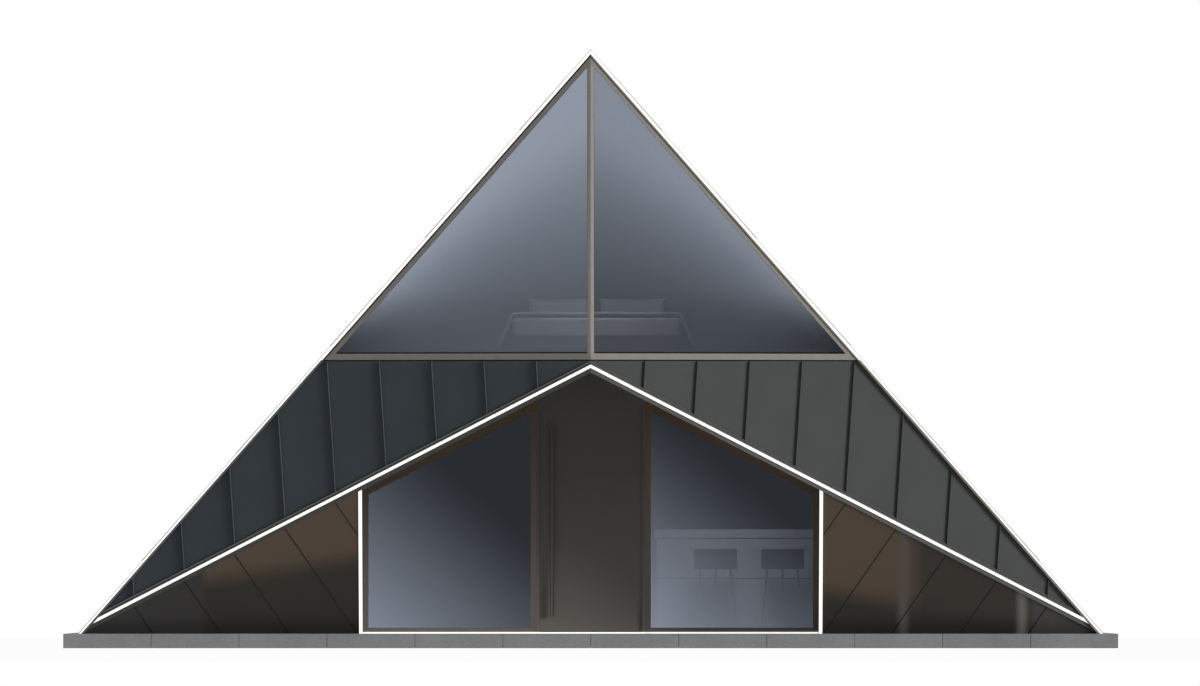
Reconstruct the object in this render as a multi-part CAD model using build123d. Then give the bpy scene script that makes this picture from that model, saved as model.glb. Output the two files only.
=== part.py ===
from build123d import *
import math
import os

# An A-frame cabin on a stone plinth, in millimetres.
#
# While it is drawn, x runs to the right, y into the house from the facade's foot and z up
# from the plinth's top. `write` moves every piece to the part's own frame, whose origin is
# the centre of the plinth's underside.
#
# Both gables are drawn as outlines in elevation (x, z) and given depth between two surfaces.
# The house is the same on both sides of x = 0, so the right half is drawn and mirrored.

# --- Roof and plan ---
ROOF_HALF_WIDTH = 5137.0    # from the ridge line to the roof's foot
ROOF_RISE = 5809.0          # from the plinth's top to the ridge
HOUSE_DEPTH = 7200.0        # from the facade's foot to the rear face
ROOF_PANEL = 200.0          # thickness of a roof panel, square to its slope
ROOF_SHEET = 14.0           # thickness of the metal cladding with its battens
RIDGE_CAP_HALF = 150.0      # half width of the folded ridge cap
SHEET_OVERHANG = 20.0       # how far the cladding passes each gable's face

# --- Plinth ---
PLINTH_HEIGHT = 145.0
PLINTH_MARGIN = 148.0       # how far the plinth shows beyond the house on all sides

# --- Front facade: two flat facets that meet in a fold on the centre line ---
PROW = 1370.0               # how far the fold stands ahead of the facets' toes, in plan
LEAN = 0.25                 # forward lean for each unit of height
CHEVRON_RISE = 2605.0       # underside of the fold above the plinth
TOE_INSET = 39.0            # from the roof's foot in to the facets' toes
FACADE_DEPTH = 100.0        # thickness of the facade and of the soffits

# --- Bands beside the roof line, as insets square to the slope ---
LIGHT_BAND = 18.0           # white light strip inside the cladding
VERGE_TRIM = 14.0           # dark trim inside the light strip
FRAME_BAND = 45.0           # frame of the gable window
LIGHT_PROUD = 12.0          # how far light strips stand ahead of the face

# --- Bands above the chevron edge, as heights on the centre line ---
LIP_BAND = 41.0
CHEVRON_LIGHT_BAND = 42.0
CAP_BAND = 32.0
CAP_PROUD = 14.0

# --- Gable window ---
REVEAL = 12.0               # open joint between the facade panel and the transom
TRANSOM_BAND = 62.0
MULLION_HALF = 33.5
GLASS = 24.0
GABLE_GLASS_SET_BACK = 34.0

# --- Porch and entry wall ---
ENTRY_SET_BACK = 750.0      # the entry wall's face behind the facade's foot
PORCH_HALF_WIDTH = 2286.0
PORCH_LIGHT_WIDTH = 34.0
PORCH_LIGHT_PROUD = 8.0
PORCH_WALL = 100.0
PORCH_CEILING = 60.0        # height of the ceiling's edge in elevation
WINDOW_STILE = 54.0
WINDOW_HEAD = 67.0
WINDOW_FOOT = 59.0
SILL = 16.0                 # height of the threshold and the light line
SILL_LIGHT_DEPTH = 12.0
ENTRY_GLASS_SET_BACK = 30.0

# --- Door: opens inwards, hung on its right edge ---
DOOR_WAY_HALF = 542.0       # half the clear width between the posts
DOOR_POST = 62.0
STOP_WIDTH = 27.0           # stop that laps the leaf's edges on the outside
STOP_DEPTH = 20.0
STOP_GAP = 6.0
DOOR_HEAD = 2252.0          # underside of the stop over the leaf
LEAF = 70.0
LATCH_GAP = 8.0
HINGE_GAP = 6.0
FLOOR_GAP = 6.0
HANDLE_OFFSET = 386.5       # from the centre line to the pull bar's middle
HANDLE_WIDTH = 37.0
HANDLE_DEPTH = 25.0
HANDLE_FOOT = 174.0
HANDLE_LENGTH = 1906.0
HANDLE_STANDOFF = 45.0
STANDOFF_RADIUS = 9.0
STANDOFF_INSET = 220.0      # from the bar's ends to its outer standoffs
HINGE_HEIGHTS = (250.0, 1150.0, 2050.0)
KNUCKLE_RADIUS = 9.0
KNUCKLE_LENGTH = 40.0
PIN_RADIUS = 4.0
PIN_CLEARANCE = 0.08
KNUCKLE_GAP = 1.0           # between the knuckles, and from them to the wall's inner face
HINGE_PLATE = 3.0
HINGE_PLATE_WIDTH = 36.0

# --- Floors ---
BOARDS = 20.0
LOFT_STEP = 46.0            # height of the loft boards over the transom
LOFT_THICKNESS = 170.0

# --- Rear gable ---
REAR_GLASS_SET_BACK = 34.0

# --- Counter and stools on the ground floor ---
COUNTER_LEFT = 646.0
COUNTER_LENGTH = 1650.0
COUNTER_FRONT = 2300.0
COUNTER_DEPTH = 620.0
COUNTER_TOP = 1050.0
COUNTER_SLAB = 85.0
COUNTER_LAP = 20.0          # how far the slab laps the cabinet's front and ends
STOOL_CENTRES = (1258.0, 1934.0)
STOOL_TO_COUNTER = 330.0    # from a stool's middle to the slab's front edge
SEAT_WIDTH = 434.0
SEAT_LENGTH = 400.0
SEAT_CORNER = 120.0
SEAT_FOOT = 647.0
SEAT_PAD = 60.0
SEAT_BACK = 204.0
SEAT_SHELL = 22.0
LEG_RADIUS = 9.0
LEG_REACH_TOP = 150.0
LEG_REACH_FLOOR = 222.0
FOOT_RING_HEIGHT = 211.0
FOOT_RING_BAR = 7.0

# --- Bed on the loft ---
BED_MIDDLE = 57.0
BED_FOOT = -900.0
BED_WIDTH = 1685.0
BED_LENGTH = 2050.0
BED_BASE = 120.0
HEADBOARD_WIDTH = 1922.0
HEADBOARD_HEIGHT = 434.0
HEADBOARD = 60.0
MATTRESS = 200.0
DUVET = 60.0
DUVET_DRAPE = 170.0         # how far the duvet's sides stand out at the floor
DUVET_LENGTH = 1550.0
PILLOW_WIDTH = 720.0
PILLOW_DEPTH = 170.0
PILLOW_RISE = 300.0
SOFT_GAP = 0.3

# --- Sizes that follow from those above ---
PITCH = math.atan2(ROOF_RISE, ROOF_HALF_WIDTH)
CHEVRON_TOE = ROOF_HALF_WIDTH - TOE_INSET
SOFFIT_RUN = LEAN + PROW / CHEVRON_RISE
TRIM_START = ROOF_SHEET + LIGHT_BAND
FRAME_START = TRIM_START + VERGE_TRIM
FRAME_END = FRAME_START + FRAME_BAND
PANEL_INNER = ROOF_SHEET + ROOF_PANEL
CAP_START = LIP_BAND + CHEVRON_LIGHT_BAND
CAP_END = CAP_START + CAP_BAND
PANEL_TOP = CHEVRON_RISE + CAP_END
TRANSOM_FOOT = PANEL_TOP + REVEAL
TRANSOM_TOP = TRANSOM_FOOT + TRANSOM_BAND
LOFT_TOP = TRANSOM_TOP + LOFT_STEP
ENTRY_DEPTH = STOP_DEPTH + STOP_GAP + LEAF
ENTRY_BACK = ENTRY_SET_BACK + ENTRY_DEPTH
REAR_INNER = HOUSE_DEPTH - FACADE_DEPTH
WINDOW_EDGE = DOOR_WAY_HALF + DOOR_POST


# --- Lines in elevation: (height on the centre line, slope to the right) ---
def rake(inset):
    """The roof line of the right slope, moved in by an inset square to it."""
    return ROOF_RISE - inset / math.cos(PITCH), -ROOF_RISE / ROOF_HALF_WIDTH


def chevron(rise):
    """The right half of the folded edge, raised by a height."""
    return CHEVRON_RISE + rise, -CHEVRON_RISE / CHEVRON_TOE


def level(height):
    return height, 0.0


def at(line, x):
    return x, line[0] + line[1] * x


def meet(first, second):
    return at(first, (second[0] - first[0]) / (first[1] - second[1]))


# --- Surfaces: the depth y at a point of the right half's elevation ---
def facade(shift):
    return lambda x, z: shift - PROW * (1 - x / CHEVRON_TOE) - LEAN * z


def soffit(shift):
    return lambda x, z: shift - SOFFIT_RUN * z


def wall(y):
    return lambda x, z: y


def soffit_plane(shift):
    return Plane(origin=(0, shift, 0), z_dir=(0, 1, SOFFIT_RUN))


def prism(outline, front, back):
    """Solid with the given (x, z) outline in elevation, between two surfaces."""
    near = [Vector(x, front(x, z), z) for x, z in outline]
    far = [Vector(x, back(x, z), z) for x, z in outline]
    faces = [Face(Wire.make_polygon(near)), Face(Wire.make_polygon(far))]
    for here in range(len(outline)):
        there = (here + 1) % len(outline)
        side = [near[here], near[there], far[there], far[here]]
        faces.append(Face(Wire.make_polygon(side)))
    return Solid(Shell(faces))


def block(low, high):
    """Upright box between two corners."""
    sizes = [high[axis] - low[axis] for axis in range(3)]
    return Pos(*low) * Box(*sizes, align=(Align.MIN, Align.MIN, Align.MIN))


def upright(radius, x, y, z, length):
    """Round bar standing on (x, y, z)."""
    return Pos(x, y, z) * Cylinder(radius, length, align=(Align.CENTER, Align.CENTER, Align.MIN))


def mirrored(shape):
    return shape.mirror(Plane.YZ)


def both_halves(shape):
    """One solid: the right half joined to its mirror image on the centre line."""
    return shape + mirrored(shape)


def write(name, *shapes):
    """Write one node, in the part's own frame."""
    solids = [solid for shape in shapes for solid in shape.solids()]
    middle = HOUSE_DEPTH / 2
    placed = [Pos(0, -middle, PLINTH_HEIGHT) * solid for solid in solids]
    export_step(placed[0] if len(placed) == 1 else Compound(children=placed), f"parts/{name}.step")


def write_pair(name, right):
    write(name + "_right", right)
    write(name + "_left", mirrored(right))


def rake_band(start, end):
    """Right half of a band along the roof line, from the ridge to the plinth."""
    outer, inner = rake(start), rake(end)
    foot = level(0)
    return [at(outer, 0), meet(outer, foot), meet(inner, foot), at(inner, 0)]


def chevron_band(start, end):
    """Right half of a band along the folded edge, out to the verge trim."""
    lower, upper, edge = chevron(start), chevron(end), rake(FRAME_START)
    return [at(lower, 0), meet(lower, edge), meet(upper, edge), at(upper, 0)]


def gable_frame_outline():
    """Right half of the sloping frame over a gable window."""
    outer, inner, foot = rake(FRAME_START), rake(FRAME_END), level(TRANSOM_TOP)
    crown = at(inner, MULLION_HALF)
    return [at(outer, 0), meet(outer, foot), meet(inner, foot), crown, (0, crown[1])]


def mullion_outline():
    crown = at(rake(FRAME_END), MULLION_HALF)
    return [(0, TRANSOM_TOP), (MULLION_HALF, TRANSOM_TOP), crown, (0, crown[1])]


def transom_outline():
    edge = rake(FRAME_START)
    foot, top = level(TRANSOM_FOOT), level(TRANSOM_TOP)
    return [at(foot, 0), meet(foot, edge), meet(top, edge), at(top, 0)]


def gable_glass_outline():
    edge = rake(FRAME_END)
    return [(MULLION_HALF, TRANSOM_TOP), meet(edge, level(TRANSOM_TOP)), at(edge, MULLION_HALF)]


# --- The house, piece by piece ---
def build_plinth():
    reach = ROOF_HALF_WIDTH + PLINTH_MARGIN
    front = (-reach, -PLINTH_MARGIN, -PLINTH_HEIGHT)
    rear = (reach, HOUSE_DEPTH + PLINTH_MARGIN, 0)
    write("plinth", block(front, rear))


def build_floors():
    inner = rake(PANEL_INNER)
    base, boards = level(0), level(BOARDS)
    ground = [at(base, 0), meet(base, inner), meet(boards, inner), at(boards, 0)]
    write("ground_floor", both_halves(prism(ground, wall(ENTRY_BACK), wall(REAR_INNER))))
    foot, top = level(LOFT_TOP - LOFT_THICKNESS), level(LOFT_TOP)
    loft = [at(foot, 0), meet(foot, inner), meet(top, inner), at(top, 0)]
    write("loft_floor", both_halves(prism(loft, facade(FACADE_DEPTH), wall(REAR_INNER))))


def build_roof():
    front, rear = facade(-SHEET_OVERHANG), wall(HOUSE_DEPTH + SHEET_OVERHANG)
    panel = prism(rake_band(ROOF_SHEET, PANEL_INNER), facade(FACADE_DEPTH), wall(REAR_INNER))
    behind_soffit = panel.split(soffit_plane(FACADE_DEPTH), keep=Keep.TOP)
    write_pair("roof_panel", behind_soffit)
    outer, inner, foot = rake(0), rake(ROOF_SHEET), level(0)
    lap_outer, lap_inner = at(outer, RIDGE_CAP_HALF), at(inner, RIDGE_CAP_HALF)
    sheet = [lap_outer, meet(outer, foot), meet(inner, foot), lap_inner]
    write_pair("roof_cladding", prism(sheet, front, rear))
    cap = [at(outer, 0), lap_outer, lap_inner, at(inner, 0)]
    write("ridge_cap", both_halves(prism(cap, front, rear)))


def build_verge():
    light = prism(rake_band(ROOF_SHEET, TRIM_START), facade(-LIGHT_PROUD), facade(FACADE_DEPTH))
    write("verge_light", both_halves(light))
    front = prism(rake_band(TRIM_START, FRAME_START), facade(0), facade(FACADE_DEPTH))
    rear = prism(rake_band(ROOF_SHEET, FRAME_START), wall(REAR_INNER), wall(HOUSE_DEPTH))
    write("verge_trim", both_halves(front), both_halves(rear))


def build_gable_window():
    face, back = facade(0), facade(FACADE_DEPTH)
    write("gable_frame", both_halves(prism(gable_frame_outline(), face, back)))
    write("gable_mullion", both_halves(prism(mullion_outline(), face, back)))
    write("gable_transom", both_halves(prism(transom_outline(), face, back)))
    near, far = facade(GABLE_GLASS_SET_BACK), facade(GABLE_GLASS_SET_BACK + GLASS)
    pane = prism(gable_glass_outline(), near, far)
    write("gable_glass", pane, mirrored(pane))


def build_facade():
    face, back = facade(0), facade(FACADE_DEPTH)
    top, edge, foot = level(PANEL_TOP), rake(FRAME_START), chevron(CAP_END)
    panel = [at(foot, 0), meet(top, edge), meet(edge, foot)]
    write_pair("facade_panel", prism(panel, face, back))
    cap = prism(chevron_band(CAP_START, CAP_END), facade(-CAP_PROUD), back)
    lip = prism(chevron_band(0, LIP_BAND), facade(-CAP_PROUD), back)
    write("chevron_trim", both_halves(cap), both_halves(lip))
    light = prism(chevron_band(LIP_BAND, CAP_START), facade(-LIGHT_PROUD), back)
    write("chevron_light", both_halves(light))


def build_underside():
    lip, edge = chevron(0), rake(FRAME_START)
    start = PORCH_HALF_WIDTH + PORCH_LIGHT_WIDTH
    under = [(start, 0), at(lip, start), meet(lip, edge), meet(edge, level(0))]
    write_pair("soffit", prism(under, soffit(0), soffit(FACADE_DEPTH)))
    strip = [(PORCH_HALF_WIDTH, 0), at(lip, PORCH_HALF_WIDTH), at(lip, start), (start, 0)]
    light = prism(strip, soffit(-PORCH_LIGHT_PROUD), soffit(FACADE_DEPTH))
    write("porch_light", light, mirrored(light))


def build_porch():
    lip, over = chevron(0), chevron(PORCH_CEILING)
    outside = PORCH_HALF_WIDTH + PORCH_WALL
    cheek = [(PORCH_HALF_WIDTH, 0), at(lip, PORCH_HALF_WIDTH), at(lip, outside), (outside, 0)]
    write_pair("porch_wall", prism(cheek, soffit(FACADE_DEPTH), wall(ENTRY_BACK)))
    slope = [at(lip, 0), at(lip, outside), at(over, outside), at(over, 0)]
    write("porch_ceiling", both_halves(prism(slope, facade(FACADE_DEPTH), wall(ENTRY_BACK))))


def build_entry_windows():
    outer, inner = chevron(0), chevron(-WINDOW_HEAD)
    stile = PORCH_HALF_WIDTH - WINDOW_STILE
    frame = [
        (WINDOW_EDGE, SILL),
        (PORCH_HALF_WIDTH, SILL),
        at(outer, PORCH_HALF_WIDTH),
        at(outer, WINDOW_EDGE),
        at(inner, WINDOW_EDGE),
        at(inner, stile),
        (stile, WINDOW_FOOT),
        (WINDOW_EDGE, WINDOW_FOOT),
    ]
    write_pair("window_frame", prism(frame, wall(ENTRY_SET_BACK), wall(ENTRY_BACK)))
    pane = [(WINDOW_EDGE, WINDOW_FOOT), (stile, WINDOW_FOOT), at(inner, stile), at(inner, WINDOW_EDGE)]
    near = ENTRY_SET_BACK + ENTRY_GLASS_SET_BACK
    sheet = prism(pane, wall(near), wall(near + GLASS))
    write("window_glass", sheet, mirrored(sheet))


def build_door_surround():
    lip = chevron(0)
    post = [(DOOR_WAY_HALF, SILL), (WINDOW_EDGE, SILL), at(lip, WINDOW_EDGE), at(lip, DOOR_WAY_HALF)]
    stop_edge = DOOR_WAY_HALF - STOP_WIDTH
    stop = block(
        (stop_edge, ENTRY_SET_BACK, SILL),
        (DOOR_WAY_HALF, ENTRY_SET_BACK + STOP_DEPTH, DOOR_HEAD),
    )
    body = prism(post, wall(ENTRY_SET_BACK), wall(ENTRY_BACK))
    write_pair("door_post", body + stop)
    panel_foot = DOOR_HEAD + STOP_WIDTH
    over = [(0, panel_foot), (DOOR_WAY_HALF, panel_foot), at(lip, DOOR_WAY_HALF), at(lip, 0)]
    head = both_halves(prism(over, wall(ENTRY_SET_BACK), wall(ENTRY_BACK)))
    head_stop = block(
        (-DOOR_WAY_HALF, ENTRY_SET_BACK, DOOR_HEAD),
        (DOOR_WAY_HALF, ENTRY_SET_BACK + STOP_DEPTH, panel_foot),
    )
    write("door_head_panel", head + head_stop)
    low = (-PORCH_HALF_WIDTH, ENTRY_SET_BACK, 0)
    write("threshold", block(low, (PORCH_HALF_WIDTH, ENTRY_BACK, SILL)))
    front, face = ENTRY_SET_BACK - SILL_LIGHT_DEPTH, ENTRY_SET_BACK
    left = block((-PORCH_HALF_WIDTH, front, 0), (DOOR_WAY_HALF, face, SILL))
    right = block((WINDOW_EDGE, front, 0), (PORCH_HALF_WIDTH, face, SILL))
    write("sill_light", left, right)


def build_door():
    face = ENTRY_SET_BACK + STOP_DEPTH + STOP_GAP
    low = (LATCH_GAP - DOOR_WAY_HALF, face, BOARDS + FLOOR_GAP)
    high = (DOOR_WAY_HALF - HINGE_GAP, ENTRY_BACK, DOOR_HEAD + STOP_WIDTH - STOP_GAP)
    write("door_leaf", block(low, high))
    bar_back = face - HANDLE_STANDOFF
    bar_left, bar_right = -HANDLE_OFFSET - HANDLE_WIDTH / 2, -HANDLE_OFFSET + HANDLE_WIDTH / 2
    top = HANDLE_FOOT + HANDLE_LENGTH
    handle = block((bar_left, bar_back - HANDLE_DEPTH, HANDLE_FOOT), (bar_right, bar_back, top))
    for height in (HANDLE_FOOT + STANDOFF_INSET, top - STANDOFF_INSET):
        peg = Cylinder(STANDOFF_RADIUS, HANDLE_STANDOFF)
        middle = Pos(-HANDLE_OFFSET, (bar_back + face) / 2, height)
        handle = handle + middle * Rot(X=90) * peg
    write("door_handle", handle)
    build_hinges()


def build_hinges():
    """Three hinges: a fixed pin between two knuckles, and the leaf's knuckle round the pin."""
    axis_x = DOOR_WAY_HALF - HINGE_GAP / 2
    axis_y = ENTRY_BACK + KNUCKLE_RADIUS + KNUCKLE_GAP
    plate_back = ENTRY_BACK + HINGE_PLATE
    leaf_length = KNUCKLE_LENGTH - 2 * KNUCKLE_GAP
    pins, knuckles = [], []
    for height in HINGE_HEIGHTS:
        lower = height - 1.5 * KNUCKLE_LENGTH
        middle = height - 0.5 * KNUCKLE_LENGTH
        upper = height + 0.5 * KNUCKLE_LENGTH
        pin = upright(PIN_RADIUS, axis_x, axis_y, lower, 3 * KNUCKLE_LENGTH)
        for foot in (lower, upper):
            barrel = upright(KNUCKLE_RADIUS, axis_x, axis_y, foot, KNUCKLE_LENGTH)
            near = (axis_x + HINGE_GAP / 2, ENTRY_BACK, foot)
            far = (axis_x + HINGE_PLATE_WIDTH, plate_back, foot + KNUCKLE_LENGTH)
            pin = pin + barrel + block(near, far)
        pins.append(pin)
        barrel = upright(KNUCKLE_RADIUS, axis_x, axis_y, middle + KNUCKLE_GAP, leaf_length)
        near = (axis_x - HINGE_PLATE_WIDTH, ENTRY_BACK, middle + KNUCKLE_GAP)
        far = (axis_x - HINGE_GAP / 2, plate_back, upper - KNUCKLE_GAP)
        bore = upright(PIN_RADIUS + PIN_CLEARANCE, axis_x, axis_y, lower, 3 * KNUCKLE_LENGTH)
        knuckles.append(barrel + block(near, far) - bore)
    write("hinge_pins", *pins)
    write("hinge_knuckles", *knuckles)


def build_rear():
    edge, foot, top = rake(FRAME_START), level(0), level(TRANSOM_FOOT)
    lower = [at(foot, 0), meet(foot, edge), meet(top, edge), at(top, 0)]
    write("rear_wall", both_halves(prism(lower, wall(REAR_INNER), wall(HOUSE_DEPTH))))
    members = [gable_frame_outline(), mullion_outline(), transom_outline()]
    bars = [both_halves(prism(outline, wall(REAR_INNER), wall(HOUSE_DEPTH))) for outline in members]
    write("rear_window_frame", bars[0] + bars[1] + bars[2])
    far = HOUSE_DEPTH - REAR_GLASS_SET_BACK
    pane = prism(gable_glass_outline(), wall(far - GLASS), wall(far))
    write("rear_glass", pane, mirrored(pane))


def build_counter():
    back = COUNTER_FRONT + COUNTER_DEPTH
    right = COUNTER_LEFT + COUNTER_LENGTH
    under = COUNTER_TOP - COUNTER_SLAB
    slab = block((COUNTER_LEFT, COUNTER_FRONT, under), (right, back, COUNTER_TOP))
    near = (COUNTER_LEFT + COUNTER_LAP, COUNTER_FRONT + COUNTER_LAP, BOARDS)
    write("counter", slab + block(near, (right - COUNTER_LAP, back, under)))


def stool(centre):
    """Tub seat on four splayed legs tied by a ring."""
    middle = COUNTER_FRONT - STOOL_TO_COUNTER
    upright_fit = (Align.CENTER, Align.CENTER, Align.MIN)
    hollow_width, hollow_length = SEAT_WIDTH - 2 * SEAT_SHELL, SEAT_LENGTH - SEAT_SHELL
    tub = extrude(RectangleRounded(SEAT_WIDTH, SEAT_LENGTH, SEAT_CORNER), SEAT_BACK)
    hollow = extrude(RectangleRounded(hollow_width, hollow_length, SEAT_CORNER - SEAT_SHELL), SEAT_BACK)
    seat = tub - Pos(0, SEAT_SHELL, SEAT_PAD) * hollow
    stool_solid = Pos(0, 0, SEAT_FOOT) * seat
    drop = SEAT_FOOT - BOARDS
    splay = LEG_REACH_FLOOR - LEG_REACH_TOP
    lean = math.degrees(math.atan2(splay, drop))
    length = math.hypot(drop, splay) + SEAT_PAD
    leg_height = drop + SEAT_PAD / 2
    foot_trim = Pos(0, 0, BOARDS) * Box(2 * SEAT_WIDTH, 2 * SEAT_WIDTH, leg_height, align=upright_fit)
    for turn in range(4):
        leg = Cylinder(LEG_RADIUS, 2 * length)
        placed = Pos(LEG_REACH_FLOOR, 0, BOARDS) * Rot(Y=-lean) * leg
        stool_solid = stool_solid + Rot(Z=90 * turn) * (placed & foot_trim)
    ring_reach = LEG_REACH_FLOOR - splay * (FOOT_RING_HEIGHT - BOARDS) / drop
    ring = Pos(0, 0, FOOT_RING_HEIGHT) * Torus(ring_reach, FOOT_RING_BAR)
    return Pos(centre, middle, 0) * (stool_solid + ring)


def build_bed():
    left, right = BED_MIDDLE - BED_WIDTH / 2, BED_MIDDLE + BED_WIDTH / 2
    head = BED_FOOT + BED_LENGTH
    base_top = LOFT_TOP + BED_BASE
    base = block((left, BED_FOOT, LOFT_TOP), (right, head, base_top))
    board = block(
        (BED_MIDDLE - HEADBOARD_WIDTH / 2, head, LOFT_TOP),
        (BED_MIDDLE + HEADBOARD_WIDTH / 2, head + HEADBOARD, LOFT_TOP + HEADBOARD_HEIGHT),
    )
    write("bed_frame", base + board)
    mattress_foot = base_top + SOFT_GAP
    mattress_top = mattress_foot + MATTRESS
    low = (left, BED_FOOT, mattress_foot)
    write("mattress", block(low, (right, head - SOFT_GAP, mattress_top)))
    build_duvet(left, right, mattress_top)
    pillow_foot = mattress_top + SOFT_GAP
    pillow_back = head - SOFT_GAP
    offset = PILLOW_WIDTH / 2 + SOFT_GAP
    pillow = Box(PILLOW_WIDTH, PILLOW_DEPTH, PILLOW_RISE, align=(Align.CENTER, Align.MAX, Align.MIN))
    pillows = [Pos(BED_MIDDLE + side * offset, pillow_back, pillow_foot) * pillow for side in (-1, 1)]
    write("pillows", *pillows)


def build_duvet(left, right, mattress_top):
    """Duvet lying on the mattress, its sides hanging out to the floor."""
    under = mattress_top + SOFT_GAP
    top = under + DUVET
    floor = LOFT_TOP + SOFT_GAP
    inner_left, inner_right = left - SOFT_GAP, right + SOFT_GAP
    section = [
        (inner_left - DUVET_DRAPE, floor),
        (inner_left, floor),
        (inner_left, under),
        (inner_right, under),
        (inner_right, floor),
        (inner_right + DUVET_DRAPE, floor),
        (inner_right, top),
        (inner_left, top),
    ]
    write("duvet", prism(section, wall(BED_FOOT), wall(BED_FOOT + DUVET_LENGTH)))


os.makedirs("parts", exist_ok=True)
build_plinth()
build_floors()
build_roof()
build_verge()
build_gable_window()
build_facade()
build_underside()
build_porch()
build_entry_windows()
build_door_surround()
build_door()
build_rear()
build_counter()
write("stools", *[stool(centre) for centre in STOOL_CENTRES])
build_bed()
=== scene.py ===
"""Looks of the A-frame cabin: seams, stonework, bedding, materials, light and camera.

Lengths are in metres, as in the frame: x to the right, y to the rear, z up from the plinth's
underside. The cabin is alike on both sides of x = 0, so the right side is made and mirrored.
"""
import math

import bmesh
import bpy
from mathutils import Matrix, Vector


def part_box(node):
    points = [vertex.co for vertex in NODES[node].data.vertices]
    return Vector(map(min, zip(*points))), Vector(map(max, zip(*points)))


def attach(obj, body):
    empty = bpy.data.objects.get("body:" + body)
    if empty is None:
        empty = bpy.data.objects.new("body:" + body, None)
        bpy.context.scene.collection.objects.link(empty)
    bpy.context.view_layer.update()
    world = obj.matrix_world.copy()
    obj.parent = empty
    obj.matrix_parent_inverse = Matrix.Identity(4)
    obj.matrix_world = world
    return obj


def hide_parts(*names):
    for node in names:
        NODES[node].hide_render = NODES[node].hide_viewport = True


bl_info = {
    "name": "A-frame cabin looks",
    "version": (1, 0, 0),
    "blender": (4, 5, 0),
    "location": "View3D > Sidebar > Cabin",
    "description": "Seams, stonework, bedding, materials and light for an A-frame cabin",
    "category": "Object",
}

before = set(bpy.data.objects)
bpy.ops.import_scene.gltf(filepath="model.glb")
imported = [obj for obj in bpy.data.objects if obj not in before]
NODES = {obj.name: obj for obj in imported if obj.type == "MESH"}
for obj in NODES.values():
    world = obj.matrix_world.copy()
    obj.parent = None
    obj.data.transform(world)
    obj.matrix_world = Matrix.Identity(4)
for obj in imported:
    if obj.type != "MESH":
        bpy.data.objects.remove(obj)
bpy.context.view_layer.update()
OVERSHOOT = 0.2  # How far a bar on the front runs past the middle before it is cut off there
MM = 0.001
RIGHT = Vector((1, 0, 0))
UP = Vector((0, 0, 1))
REARWARD = Vector((0, 1, 0))
FRONTWARD = -REARWARD


# --- Places read from the frame ---
def low(node):
    return Vector(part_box(node)[0])


def high(node):
    return Vector(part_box(node)[1])


def ends(node):
    """The two corners of a node's box."""
    return low(node), high(node)


GROUND = high("plinth").z
RIDGE = high("ridge_cap").z
EAVE = high("roof_cladding_right").x
PITCH = math.atan2(RIDGE - GROUND, EAVE)


def face_plane(node, toward):
    """A point and the outward normal of the node's main face on the side that toward names."""
    mesh = NODES[node].data
    toward = Vector(toward).normalized()
    best = max(mesh.polygons, key=lambda face: face.area * max(face.normal.dot(toward), 0) ** 4)
    return Vector(mesh.vertices[best.vertices[0]].co), Vector(best.normal)


def on_plane(plane, x, z):
    """The plane's point at x and z."""
    point, normal = plane
    y = point.y - (normal.x * (x - point.x) + normal.z * (z - point.z)) / normal.y
    return Vector((x, y, z))


def rake_x(inset, z):
    """Where the roof line, moved in by an inset square to it, passes the height z."""
    return (RIDGE - inset / math.cos(PITCH) - z) / math.tan(PITCH)


def inset_of(node):
    """How far a node's outer edge lies inside the roof line."""
    return (RIDGE - low(node).z - high(node).x * math.tan(PITCH)) * math.cos(PITCH)


def fold_fall():
    """Fall of the facade's folded edge for each unit to the side."""
    panel = "facade_panel_right"
    return (high(panel).z - low(panel).z) / high(panel).x


def fold_point(node):
    """The lowest point that a node's front has on the centre line."""
    front_depth = 30 * MM
    places = [Vector(vertex.co) for vertex in NODES[node].data.vertices]
    middle = [place for place in places if abs(place.x) < MM]
    front = min(place.y for place in middle) + front_depth
    return min((place for place in middle if place.y < front), key=lambda place: place.z)


def pane_outline(node, plane):
    """Corners of the node's right pane on its face in a plane, in order."""
    point, normal = plane
    corners = []
    for vertex in NODES[node].data.vertices:
        place = Vector(vertex.co)
        flat = abs((place - point).dot(normal)) < 0.5 * MM
        if flat and place.x > 0 and all((place - corner).length > MM for corner in corners):
            corners.append(place)
    middle = sum(corners, Vector()) / len(corners)
    return sorted(corners, key=lambda corner: math.atan2(corner.z - middle.z, corner.x - middle.x))


# --- Settings ---
def linear(code):
    """An sRGB hex code as linear red, green and blue."""
    parts = [int(code[place:place + 2], 16) / 255 for place in (1, 3, 5)]
    return [part / 12.92 if part <= 0.04045 else ((part + 0.055) / 1.055) ** 2.4 for part in parts]


def length_setting(name, description, millimetres):
    return bpy.props.FloatProperty(
        name=name, description=description, default=millimetres * MM, min=0.0, unit="LENGTH")


def colour_setting(name, description, code):
    return bpy.props.FloatVectorProperty(
        name=name, description=description, default=linear(code), min=0.0, max=1.0, subtype="COLOR")


def number_setting(name, description, count):
    return bpy.props.IntProperty(name=name, description=description, default=count, min=1)


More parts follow.
